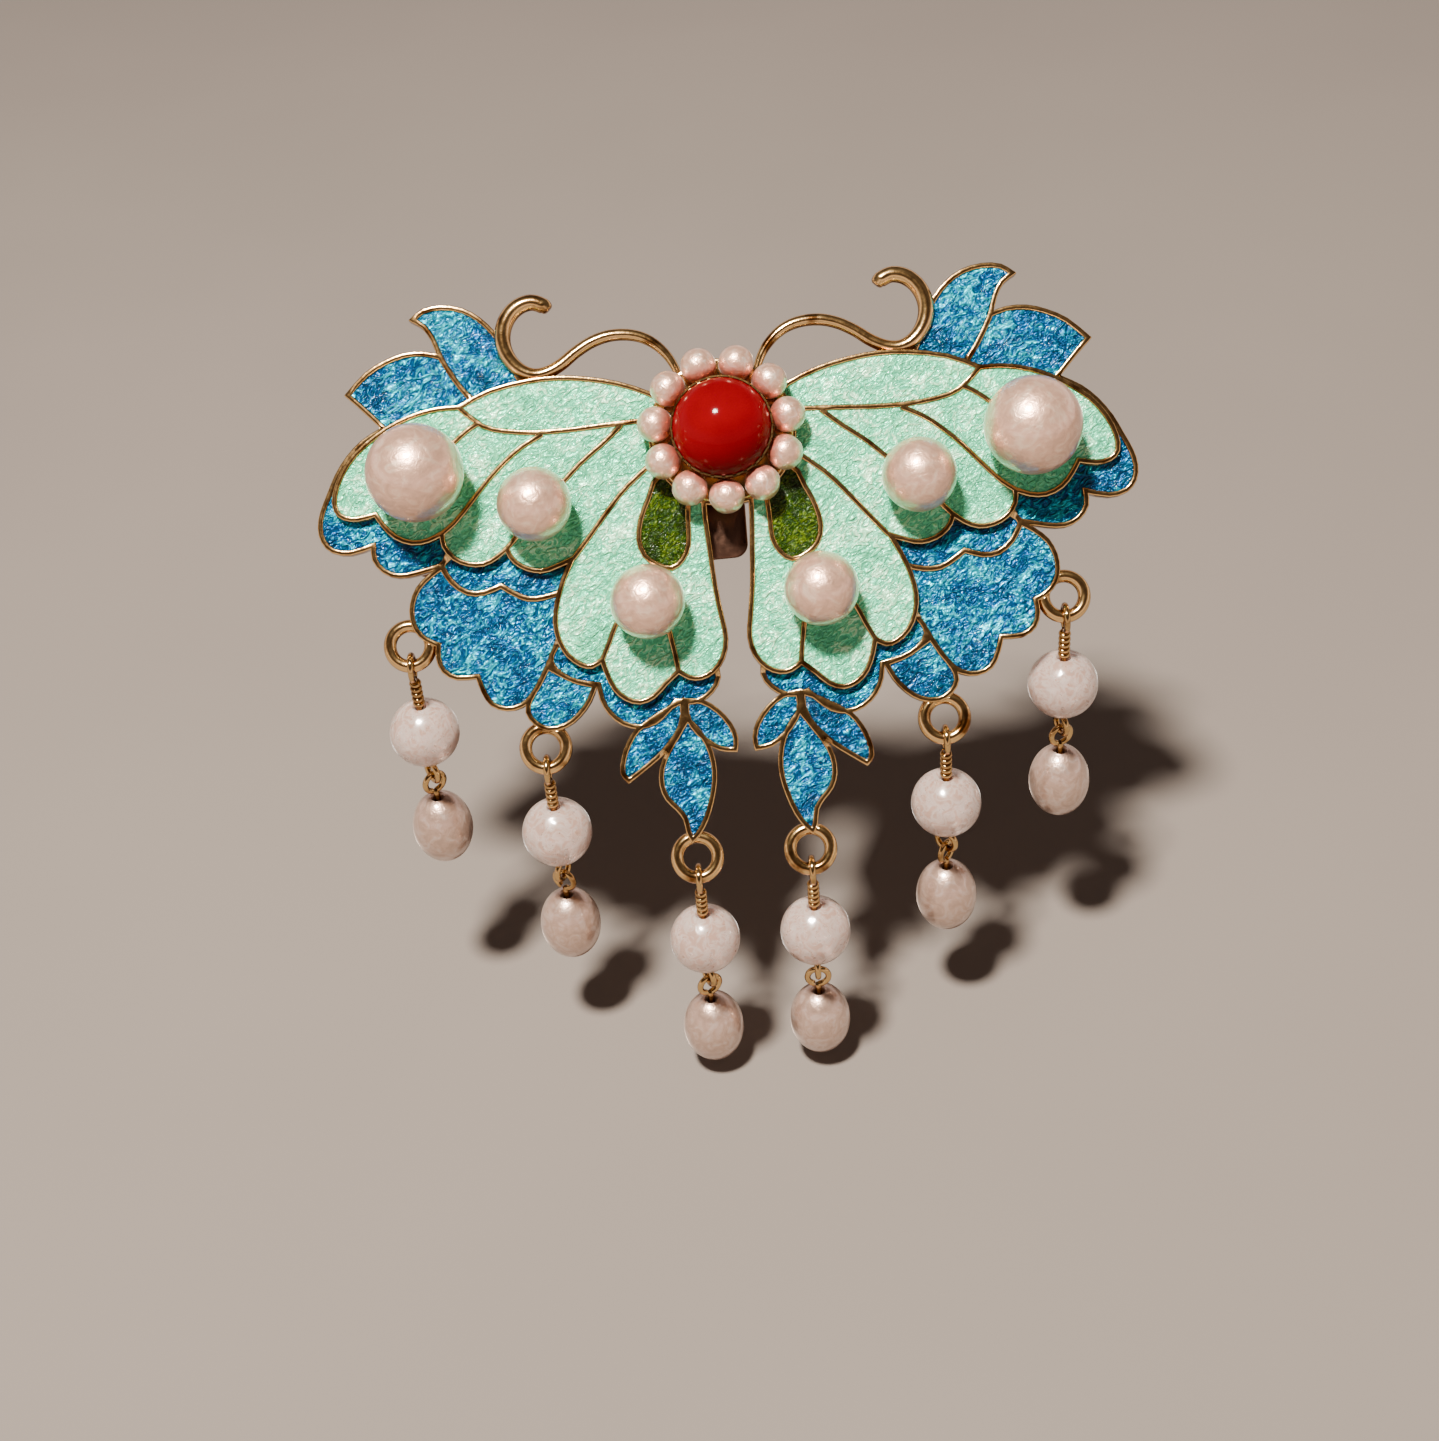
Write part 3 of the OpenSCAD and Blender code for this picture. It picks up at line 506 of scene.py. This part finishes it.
def finish(name):
    """The named material, made the first time it is asked for."""
    made = bpy.data.materials.get(name)
    if made:
        return made
    at = look()
    gilt, enamel, pearl, drop = at.gilt, at.enamel, at.pearl, at.drop
    size = mm(enamel.crinkle)
    if name == "gilt":
        return gilt_material(name, tuple(gilt.colour), tuple(gilt.shade), gilt.roughness)
    # The wire's gilt is darkened from the castings' as painted shade, for wire seen in shadow.
    if name == "gilt_wire":
        return gilt_material(name, tint(gilt.colour, 0.75), tuple(gilt.shade), gilt.roughness * 0.8)
    # Each enamel's pale colour tints its light pools and is also laid on as painted glints.
    if name == "aqua_glass":
        colour = tuple(enamel.aqua)
        return enamel_material(name, colour, pale=(0.60, 1.0, 0.66), deep=tint(colour, 0.8),
                               size=size * 0.9, glint=0.3, relief=0.55)
    if name == "blue_glass":
        colour = tuple(enamel.blue)
        return enamel_material(name, colour, pale=(0.0, 0.60, 0.76), deep=tint(colour, 0.55),
                               size=size * 1.1, glint=0.7, relief=0.8)
    if name == "green_glass":
        colour = tuple(enamel.green)
        return enamel_material(name, colour, pale=(0.10, 0.165, 0.0), deep=tint(colour, 0.5),
                               size=size * 0.7, glint=0.3, relief=0.85)
    if name == "nacre":
        return pearl_material(name, tuple(pearl.body), tuple(pearl.bloom), 1.4)
    # The petal pearls carry a painted reflection of the red stone.
    if name == "petal_nacre":
        return pearl_material(name, towards(pearl.body, WHITE, 0.25), tuple(pearl.bloom), 0.9,
                              painted_stone_reflection=(0.75, 0.12, 0.08), haze=0.04)
    if name == "red_glass":
        return stone_material(name, tuple(at.flower.stone), tuple(at.flower.stone_deep))
    if name == "milky_resin":
        return bead_material(name, tuple(drop.bead), towards(drop.bead, WHITE, 0.40), haze=0.3, size=1.3)
    if name == "pearly_resin":
        return pearl_material(name, towards(drop.oval, WHITE, 0.20), tuple(drop.oval), 1.2)
    # The clip's dark colour is painted shade.
    if name == "steel_darkened_as_shade":
        return gilt_material(name, tuple(at.clip.metal), tint(at.clip.metal, 0.6), 0.32)
    if name == "spring_wire":
        return gilt_material(name, tuple(at.clip.spring), tint(at.clip.spring, 0.7), 0.25)
    if name == "floor_paper":
        return floor_material(name, tuple(at.stage.floor))
    raise ValueError("no finish is named " + name)


# Shaping in millimetres

def mm(length):
    return length * 1000


def make_piece(name, bm, place, material, body="ornament", sharp=35.0):
    """Turns a shape in millimetres into a finished piece that rides on a body."""
    bmesh.ops.remove_doubles(bm, verts=bm.verts, dist=WELD)
    bmesh.ops.recalc_face_normals(bm, faces=bm.faces)
    bm.transform(place)
    mesh = bpy.data.meshes.new(name)
    bm.to_mesh(mesh)
    bm.free()
    if not mesh.polygons:
        raise RuntimeError(name + " came out empty")
    mesh.shade_smooth()
    mesh.set_sharp_from_angle(angle=math.radians(sharp))
    piece = bpy.data.objects.new(name, mesh)
    bpy.context.scene.collection.objects.link(piece)
    mesh.materials.append(finish(material))
    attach(piece, body)
    return piece


def merged_copy(node):
    """A CAD node's mesh in millimetres, its loose triangles joined."""
    bm = bmesh.new()
    bm.from_mesh(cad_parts[node].data)
    bm.transform(Matrix.Scale(1000, 4))
    bmesh.ops.remove_doubles(bm, verts=bm.verts, dist=CAD_WELD)
    return bm


def round_edges(bm, width, angle=40.0, segments=2):
    """Rounds the outward edges that turn by more than the angle."""
    limit = math.radians(angle)
    edges = [e for e in bm.edges if e.is_manifold and e.is_convex and e.calc_face_angle(0) > limit]
    bmesh.ops.bevel(bm, geom=edges, offset=width, offset_type="OFFSET", affect="EDGES",
                    segments=segments, profile=0.5, clamp_overlap=False, material=-1)


def softened_node(node, name, width, material, body="ornament"):
    """A CAD node's shape with rounded edges, standing for that node."""
    bm = merged_copy(node)
    round_edges(bm, width)
    piece = make_piece(name, bm, TO_METRES, material, body)
    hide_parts(node)
    return piece


def dress_node(node, material):
    """Gives a CAD node its finish as it is."""
    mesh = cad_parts[node].data
    mesh.materials.clear()
    mesh.materials.append(finish(material))


def hermite(a, b, along_a, along_b, t):
    """Point on a smooth span that leaves a and reaches b along two directions."""
    reach, s = (b - a).length, 1 - t
    return a * s * s * (1 + 2 * t) + b * t * t * (1 + 2 * s) + (along_a * s - along_b * t) * reach * s * t


def open_curve(rows, steps):
    """Points and radii of a smooth line through rows of across, up, 1 at an end, radius."""
    spots = [Vector(row[:2]) for row in rows]
    last = len(rows) - 1

    def heading(k, ahead):
        """Direction at a spot: past both neighbours, or along the one span that leaves an end."""
        if rows[k][2] == 0:
            start, stop = k - 1, k + 1
        elif ahead:
            start, stop = k, k + 1
        else:
            start, stop = k - 1, k
        return (spots[stop] - spots[start]).normalized()

    out = []
    for i in range(last):
        for k in range(steps):
            t = k / steps
            point = hermite(spots[i], spots[i + 1], heading(i, True), heading(i + 1, False), t)
            out.append((point, rows[i][3] * (1 - t) + rows[i + 1][3] * t))
    out.append((spots[last], rows[last][3]))
    return out


def wire_eye(bm, radius, wire, place, gap=0.0, steps=40, sides=12):
    """An eye of wire round the Z axis, open by a gap in degrees, set by a matrix."""
    made = bmesh.ops.create_circle(bm, cap_ends=False, segments=sides, radius=wire)
    ring = made["verts"]
    bmesh.ops.rotate(bm, verts=ring, cent=(0, 0, 0), matrix=Matrix.Rotation(math.radians(90), 3, "X"))
    bmesh.ops.translate(bm, verts=ring, vec=(radius, 0, 0))
    edges = list({e for v in ring for e in v.link_edges})
    before = set(bm.verts) - set(ring)
    turn = math.radians(360 - gap)
    bmesh.ops.spin(bm, geom=ring + edges, cent=(0, 0, 0), axis=(0, 0, 1), dvec=(0, 0, 0),
                   angle=turn, steps=steps, use_merge=gap == 0, use_duplicate=False)
    if gap:
        open_edges = [e for e in bm.edges if e.is_boundary and not set(e.verts) & before]
        bmesh.ops.holes_fill(bm, edges=open_edges, sides=sides)
    bmesh.ops.transform(bm, matrix=place, space=Matrix.Identity(4),
                        verts=[v for v in bm.verts if v not in before])


def rod(bm, radius, top, bottom, sides=16):
    """A straight wire down the Z axis."""
    height = top - bottom
    bmesh.ops.create_cone(bm, cap_ends=True, cap_tris=False, segments=sides, radius1=radius,
                          radius2=radius, depth=height,
                          matrix=Matrix.Translation((0, 0, bottom + height / 2)))


def wrap(bm, wire, top, bottom):
    """Turns of wire wound about a pin, each a tilted ring of its own that is sunk into the pin."""
    turns = int((top - bottom) / (wire * 1.9))
    lean = Matrix.Rotation(math.radians(12), 4, "X")
    for k in range(turns):
        height = top - (k + 0.5) * (top - bottom) / turns
        wire_eye(bm, wire * 1.15, wire * 0.8, Matrix.Translation((0, 0, height)) @ lean, steps=20, sides=8)


def turned(bm, points, steps, closed=False):
    """Turns a profile of radius and height pairs about the Z axis into a solid."""
    verts = [bm.verts.new((r, 0, z)) for r, z in points]
    pairs = list(zip(verts, verts[1:] + verts[:1] if closed else verts[1:]))
    edges = [bm.edges.new(pair) for pair in pairs]
    bmesh.ops.spin(bm, geom=verts + edges, cent=(0, 0, 0), axis=(0, 0, 1), dvec=(0, 0, 0),
                   angle=math.radians(360), steps=steps, use_merge=True, use_duplicate=False)
    bmesh.ops.remove_doubles(bm, verts=bm.verts, dist=WELD)


def arc(radius_across, radius_up, start, stop, steps, height=0.0):
    """Radius and height pairs along an elliptical arc, in degrees from straight up."""
    out = []
    for k in range(steps + 1):
        a = math.radians(start + (stop - start) * k / steps)
        out.append((radius_across * math.sin(a), height + radius_up * math.cos(a)))
    return out


# Pieces

class HAIRCLIP_OT_wing_plate(bpy.types.Operator):
    """Gilt casting of the wings, its rims rounded as if by polishing"""
    bl_idname = "hairclip.wing_plate"
    bl_label = "Wing plate"

    def execute(self, context):
        width = mm(look().gilt.rim_round)
        softened_node("wing_plate", "gilt_wings", width, "gilt")
        return {"FINISHED"}


class HAIRCLIP_OT_antennae(bpy.types.Operator):
    """Two curled antennae of round, tapered gilt rod"""
    bl_idname = "hairclip.antennae"
    bl_label = "Antennae"

    def execute(self, context):
        for name, side in SIDES.items():
            curve = bpy.data.curves.new("antenna_line", "CURVE")
            curve.dimensions = "3D"
            curve.bevel_depth = ANTENNA_GIRTH
            curve.bevel_resolution = 6
            curve.use_fill_caps = True
            line = open_curve(ANTENNA, ANTENNA_STEPS)
            spline = curve.splines.new("POLY")
            spline.points.add(len(line) - 1)
            for point, (spot, radius) in zip(spline.points, line):
                point.co = (side * spot.x, spot.y, ANTENNA_HEIGHT, 1)
                point.radius = radius
            spline.points[-1].radius = line[-1][1] * ANTENNA_TIP
            holder = bpy.data.objects.new("antenna_line", curve)
            bm = bmesh.new()
            bm.from_mesh(bpy.data.meshes.new_from_object(holder))
            bpy.data.objects.remove(holder)
            make_piece("antenna_" + name, bm, PLATE, "gilt")
        return {"FINISHED"}


class HAIRCLIP_OT_enamel(bpy.types.Operator):
    """Panes of aqua, blue and green enamel over foil"""
    bl_idname = "hairclip.enamel"
    bl_label = "Enamel"

    def execute(self, context):
        for side in SIDES:
            for colour in ("aqua", "blue", "green"):
                dress_node(colour + "_enamel_" + side, colour + "_glass")
        return {"FINISHED"}


def pearl_shape(radius, flat, seed):
    """A pearl cut flat below, its centre at the origin, a little uneven."""
    bm = bmesh.new()
    bmesh.ops.create_uvsphere(bm, u_segments=64, v_segments=40, radius=radius)
    wander = mm(look().pearl.unevenness)
    for v in bm.verts:
        push = noise.noise(v.co * (1.6 / radius) + Vector((seed, 0, 0)))
        v.co *= 1 - wander / radius * (1 + push) / 2
    plane = Vector((0, 0, flat - radius))
    bmesh.ops.bisect_plane(bm, geom=bm.verts[:] + bm.edges[:] + bm.faces[:], plane_co=plane,
                           plane_no=(0, 0, -1), clear_outer=True)
    bmesh.ops.holes_fill(bm, edges=[e for e in bm.edges if e.is_boundary], sides=0)
    return bm


def pearl_centre(node):
    """Centre and radius of a pearl, from its CAD node's box: its flat never reaches the front or the top."""
    low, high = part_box(node)
    radius = (high.x - low.x) / 2
    return Vector(((low.x + high.x) / 2, low.y + radius, high.z - radius)) * 1000, radius * 1000


def upright_on_plate(centre):
    """Matrix that sets a pearl at a centre with its flat towards the plate."""
    return TO_METRES @ Matrix.Translation(centre) @ Matrix.Rotation(LEAN, 4, "X")


class HAIRCLIP_OT_wing_pearls(bpy.types.Operator):
    """Six pearls on the wings"""
    bl_idname = "hairclip.wing_pearls"
    bl_label = "Wing pearls"

    def execute(self, context):
        seed = 0
        for side in SIDES:
            for place, radius in WING_PEARLS.items():
                seed += 7
                node = "pearl_" + place + "_" + side
                centre, _ = pearl_centre(node)
                shape = pearl_shape(radius, WING_PEARL_FLAT, seed)
                piece = make_piece("nacre_" + place + "_" + side, shape, upright_on_plate(centre),
                                   "nacre", sharp=60)
                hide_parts(node)
        return {"FINISHED"}


class HAIRCLIP_OT_petal_pearls(bpy.types.Operator):
    """Eleven small pearls round the flower"""
    bl_idname = "hairclip.petal_pearls"
    bl_label = "Petal pearls"

    def execute(self, context):
        for i in PETAL_PEARLS:
            node = "petal_pearl_" + str(i)
            centre, radius = pearl_centre(node)
            shape = pearl_shape(radius, PETAL_PEARL_FLAT, i * 3)
            piece = make_piece("nacre_petal_" + str(i), shape, upright_on_plate(centre),
                               "petal_nacre", sharp=60)
            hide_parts(node)
        return {"FINISHED"}


class HAIRCLIP_OT_flower_cup(bpy.types.Operator):
    """Cup of the flower, with the toothed bezel that grips the stone"""
    bl_idname = "hairclip.flower_cup"
    bl_label = "Flower cup"

    def execute(self, context):
        teeth = look().flower.teeth
        step = math.radians(360 / teeth)
        outer, inner = BEZEL_RADIUS, BEZEL_RADIUS - BEZEL_WALL
        base = BEZEL_TOP - TOOTH_HEIGHT
        bm = bmesh.new()
        turned(bm, [
            (0, RIM_TOP), (6.0, RIM_TOP), (6.1, RIM_TOP + 0.1), (6.1, CUP_DISC_TOP - 0.1),
            (6.0, CUP_DISC_TOP), (3.9, CUP_DISC_TOP), (3.7, CUP_DISC_TOP + 0.2), (3.7, 3.4),
            (4.0, 3.95), (outer, STONE_SEAT + BEZEL_WALL), (outer, base), (inner, base),
            (inner, STONE_SEAT), (0, STONE_SEAT),
        ], teeth * 6)

        def in_tooth(face):
            """Whether a face lies on the bezel's edge and in a tooth's share of it."""
            middle = face.calc_center_median()
            on_edge = abs(middle.z - base) < 0.01 and abs(middle.xy.length - (outer + inner) / 2) < 0.1
            return on_edge and math.atan2(middle.y, middle.x) / step % 1 < TOOTH_SHARE

        raised = [f for f in bm.faces if in_tooth(f)]
        made = bmesh.ops.extrude_face_region(bm, geom=raised)
        verts = [g for g in made["geom"] if isinstance(g, bmesh.types.BMVert)]
        bmesh.ops.delete(bm, geom=[f for f in raised if f.is_valid], context="FACES_ONLY")
        bmesh.ops.translate(bm, verts=verts, vec=(0, 0, TOOTH_HEIGHT))
        for v in verts:
            v.co.xy *= TOOTH_DRAWN_IN
        round_edges(bm, TOOTH_ROUND, angle=50, segments=1)
        piece = make_piece("toothed_cup", bm, PLATE, "gilt")
        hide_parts("flower_cup")
        return {"FINISHED"}


class HAIRCLIP_OT_red_stone(bpy.types.Operator):
    """Domed red stone"""
    bl_idname = "hairclip.red_stone"
    bl_label = "Red stone"

    def execute(self, context):
        radius = STONE_RADIUS
        sphere = (radius ** 2 + STONE_DOME ** 2) / (2 * STONE_DOME)
        spread = math.degrees(math.asin(radius / sphere))
        girdle = STONE_SEAT + STONE_GIRDLE
        dome = arc(sphere, sphere, 0, spread - 0.6, 24, girdle + STONE_DOME - sphere)
        side = [(radius - 0.02, girdle - 0.06), (radius, girdle - 0.2), (radius, STONE_SEAT + 0.12),
                (radius - 0.12, STONE_SEAT), (0, STONE_SEAT)]
        bm = bmesh.new()
        turned(bm, dome + side, 96)
        piece = make_piece("domed_stone", bm, PLATE, "red_glass", sharp=60)
        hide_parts("red_stone")
        return {"FINISHED"}


def drop_place(i):
    """Matrix from a drop's own millimetres to the row frame, found from its round bead."""
    low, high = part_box("round_bead_" + str(i))
    centre = (low + high) / 2 * 1000
    return TO_METRES @ Matrix.Translation(centre - Vector((0, 0, BEAD)))


def eye_matrix(height, turn, opening):
    """Stands an eye upright in a plane that holds the Z axis, its opening at an angle round it."""
    return (Matrix.Translation((0, 0, height)) @ Matrix.Rotation(math.radians(turn), 4, "Z")
            @ Matrix.Rotation(math.radians(90), 4, "X") @ Matrix.Rotation(math.radians(opening), 4, "Z"))


class HAIRCLIP_OT_drop_wires(bpy.types.Operator):
    """Gilt pins with bent eyes that link the beads"""
    bl_idname = "hairclip.drop_wires"
    bl_label = "Drop wires"

    def execute(self, context):
        drop = look().drop
        wire = mm(drop.wire_radius)
        for i, turn in zip(DROPS, DROP_TURNS):
            place = drop_place(i)
            bm = bmesh.new()
            wire_eye(bm, TOP_EYE_RADIUS, wire, eye_matrix(TOP_EYE, 90, -90), EYE_OPENING)
            rod(bm, wire, TOP_EYE - TOP_EYE_RADIUS, UPPER_EYE + EYE_RADIUS)
            wrap(bm, wire, TOP_EYE - TOP_EYE_RADIUS - wire, BEAD + mm(drop.bead_radius))
            wire_eye(bm, EYE_RADIUS, wire, eye_matrix(UPPER_EYE, turn + 90, 90), EYE_OPENING)
            piece = make_piece("eye_wire_" + str(i), bm, place, "gilt_wire", sharp=50)
            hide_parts("eye_pin_" + str(i))
            bm = bmesh.new()
            wire_eye(bm, EYE_RADIUS, wire, eye_matrix(LOWER_EYE, turn, -90), EYE_OPENING)
            rod(bm, wire, LOWER_EYE - EYE_RADIUS, OVAL - OVAL_HALF)
            bmesh.ops.create_uvsphere(bm, u_segments=24, v_segments=16, radius=BALL_RADIUS,
                                      matrix=Matrix.Translation((0, 0, OVAL - OVAL_HALF)))
            piece = make_piece("ball_wire_" + str(i), bm, place, "gilt_wire", sharp=50)
            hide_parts("drop_pin_" + str(i))
        return {"FINISHED"}


def drilled_bead(radius, half, hole, steps):
    """A bead drilled down its length, the hole's two ends eased."""
    start = math.degrees(math.asin((hole + HOLE_EASE_WIDTH) / radius))
    outside = arc(radius, half, start, 180 - start, steps)
    ease = half * math.cos(math.asin(hole / radius)) - HOLE_EASE_DEPTH
    profile = outside + [(hole, -ease), (hole, ease)]
    bm = bmesh.new()
    turned(bm, profile, 56, closed=True)
    return bm


class HAIRCLIP_OT_round_beads(bpy.types.Operator):
    """Six milky round beads"""
    bl_idname = "hairclip.round_beads"
    bl_label = "Round beads"

    def execute(self, context):
        drop = look().drop
        radius = mm(drop.bead_radius)
        for i in DROPS:
            bm = drilled_bead(radius, radius, mm(drop.hole_radius), 36)
            place = drop_place(i) @ Matrix.Translation((0, 0, BEAD))
            piece = make_piece("milky_bead_" + str(i), bm, place, "milky_resin", sharp=50)
            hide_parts("round_bead_" + str(i))
        return {"FINISHED"}


class HAIRCLIP_OT_oval_beads(bpy.types.Operator):
    """Six oval beads with a pearly finish"""
    bl_idname = "hairclip.oval_beads"
    bl_label = "Oval beads"

    def execute(self, context):
        drop = look().drop
        for i in DROPS:
            bm = drilled_bead(mm(drop.oval_radius), OVAL_HALF, mm(drop.hole_radius), 40)
            place = drop_place(i) @ Matrix.Translation((0, 0, OVAL))
            piece = make_piece("frosted_bead_" + str(i), bm, place, "pearly_resin", sharp=50)
            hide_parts("oval_bead_" + str(i))
        return {"FINISHED"}


class HAIRCLIP_OT_clip(bpy.types.Operator):
    """Jaws, pin and spring of the duckbill clip"""
    bl_idname = "hairclip.clip"
    bl_label = "Clip"

    def execute(self, context):
        width = mm(look().clip.edge_round)
        softened_node("clip_upper_jaw", "upper_jaw_plate", width, "steel_darkened_as_shade")
        softened_node("clip_lower_jaw", "lower_jaw_plate", width, "steel_darkened_as_shade", "lower_jaw")
        softened_node("hinge_pin", "hinge_rivet", RIVET_ROUND, "steel_darkened_as_shade")
        dress_node("spring", "spring_wire")
        dress_node("spring_leg", "spring_wire")
        return {"FINISHED"}


class HAIRCLIP_OT_stage(bpy.types.Operator):
    """Plain floor, a soft lamp overhead, a lit room and the camera"""
    bl_idname = "hairclip.stage"
    bl_label = "Stage"

    def execute(self, context):
        at = look().stage
        low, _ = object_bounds()
        bm = bmesh.new()
        bmesh.ops.create_grid(bm, x_segments=8, y_segments=8, size=FLOOR_HALF,
                              matrix=Matrix.Translation((0, 0, low.z - FLOOR_GAP)))
        mesh = bpy.data.meshes.new("floor")
        bm.to_mesh(mesh)
        bm.free()
        mesh.materials.append(finish("floor_paper"))
        floor = bpy.data.objects.new("floor", mesh)
        context.scene.collection.objects.link(floor)
        floor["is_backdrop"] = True
        self.soft_light(context, at.key_power)
        context.scene.world = self.room(at.horizon, at.ceiling)
        self.camera(context, at.focal_length)
        return {"FINISHED"}

    def room(self, horizon, ceiling):
        """A room of warm light, bright near the floor and dim overhead."""
        world = bpy.data.worlds.new("room")
        world.use_nodes = True
        nodes, links = world.node_tree.nodes, world.node_tree.links
        way = nodes.new("ShaderNodeTexCoord")
        parts = nodes.new("ShaderNodeSeparateXYZ")
        fade = nodes.new("ShaderNodeMapRange")
        fade.interpolation_type = "SMOOTHSTEP"
        fade.inputs["From Min"].default_value = 0.15
        fade.inputs["From Max"].default_value = 0.5
        fade.inputs["To Min"].default_value = horizon
        fade.inputs["To Max"].default_value = ceiling
        background = nodes["Background"]
        background.inputs["Color"].default_value = ROOM_COLOUR
        links.new(way.outputs["Generated"], parts.inputs["Vector"])
        links.new(parts.outputs["Z"], fade.inputs["Value"])
        links.new(fade.outputs["Result"], background.inputs["Strength"])
        return world

    def soft_light(self, context, power):
        """A round lamp overhead that faces the origin."""
        light = bpy.data.lights.new("key_light", "AREA")
        light.shape = "DISK"
        light.size = LAMP_SIZE
        light.energy = power
        light.color = LAMP_COLOUR
        lamp = bpy.data.objects.new("key_light", light)
        lamp.location = LAMP_SPOT
        lamp.rotation_euler = (-LAMP_SPOT).to_track_quat("-Z", "Y").to_euler()
        context.scene.collection.objects.link(lamp)

    def camera(self, context, focal_length):
        """Stands the camera at the photograph's angle, turned a little about its own line of sight."""
        azimuth, elevation, roll = (math.radians(angle) for angle in CAMERA_ANGLES)
        away, aside, above = CAMERA_OFFSETS
        back = Vector((math.sin(azimuth) * math.cos(elevation), -math.cos(azimuth) * math.cos(elevation),
                       math.sin(elevation)))
        right = Vector((math.cos(azimuth), math.sin(azimuth), 0))
        up = back.cross(right)
        side = right * math.cos(roll) - up * math.sin(roll)
        top = right * math.sin(roll) + up * math.cos(roll)
        data = bpy.data.cameras.new("camera")
        data.lens = focal_length
        data.sensor_width = 36
        data.clip_start = 0.01
        camera = bpy.data.objects.new("camera", data)
        turn = Matrix((side, top, back)).transposed().to_4x4()
        spot = back * away + side * aside + top * above
        camera.matrix_world = Matrix.Translation(spot) @ turn
        context.scene.collection.objects.link(camera)
        context.scene.camera = camera


STEPS = [
    HAIRCLIP_OT_wing_plate,
    HAIRCLIP_OT_antennae,
    HAIRCLIP_OT_enamel,
    HAIRCLIP_OT_wing_pearls,
    HAIRCLIP_OT_petal_pearls,
    HAIRCLIP_OT_flower_cup,
    HAIRCLIP_OT_red_stone,
    HAIRCLIP_OT_drop_wires,
    HAIRCLIP_OT_round_beads,
    HAIRCLIP_OT_oval_beads,
    HAIRCLIP_OT_clip,
    HAIRCLIP_OT_stage,
]


class HAIRCLIP_PT_panel(bpy.types.Panel):
    """The hair clip's pieces and looks"""
    bl_idname = "HAIRCLIP_PT_panel"
    bl_label = "Hair Clip"
    bl_space_type = "VIEW_3D"
    bl_region_type = "UI"
    bl_category = "Hair Clip"

    def draw(self, context):
        at = context.scene.hair_clip
        for step in STEPS:
            self.layout.operator(step.bl_idname)
        for name in LOOKS:
            box = self.layout.box()
            box.label(text=name.capitalize())
            group = getattr(at, name)
            for key in group.__annotations__:
                box.prop(group, key)


CLASSES = [*LOOKS.values(), HairClipLook, *STEPS, HAIRCLIP_PT_panel]


def register():
    for cls in CLASSES:
        bpy.utils.register_class(cls)
    bpy.types.Scene.hair_clip = bpy.props.PointerProperty(type=HairClipLook)


def unregister():
    del bpy.types.Scene.hair_clip
    for cls in reversed(CLASSES):
        bpy.utils.unregister_class(cls)


def main():
    register()
    bpy.ops.hairclip.wing_plate()
    bpy.ops.hairclip.antennae()
    bpy.ops.hairclip.enamel()
    bpy.ops.hairclip.wing_pearls()
    bpy.ops.hairclip.petal_pearls()
    bpy.ops.hairclip.flower_cup()
    bpy.ops.hairclip.red_stone()
    bpy.ops.hairclip.drop_wires()
    bpy.ops.hairclip.round_beads()
    bpy.ops.hairclip.oval_beads()
    bpy.ops.hairclip.clip()
    bpy.ops.hairclip.stage()
    bpy.context.view_layer.update()


if __name__ == "__main__":
    main()
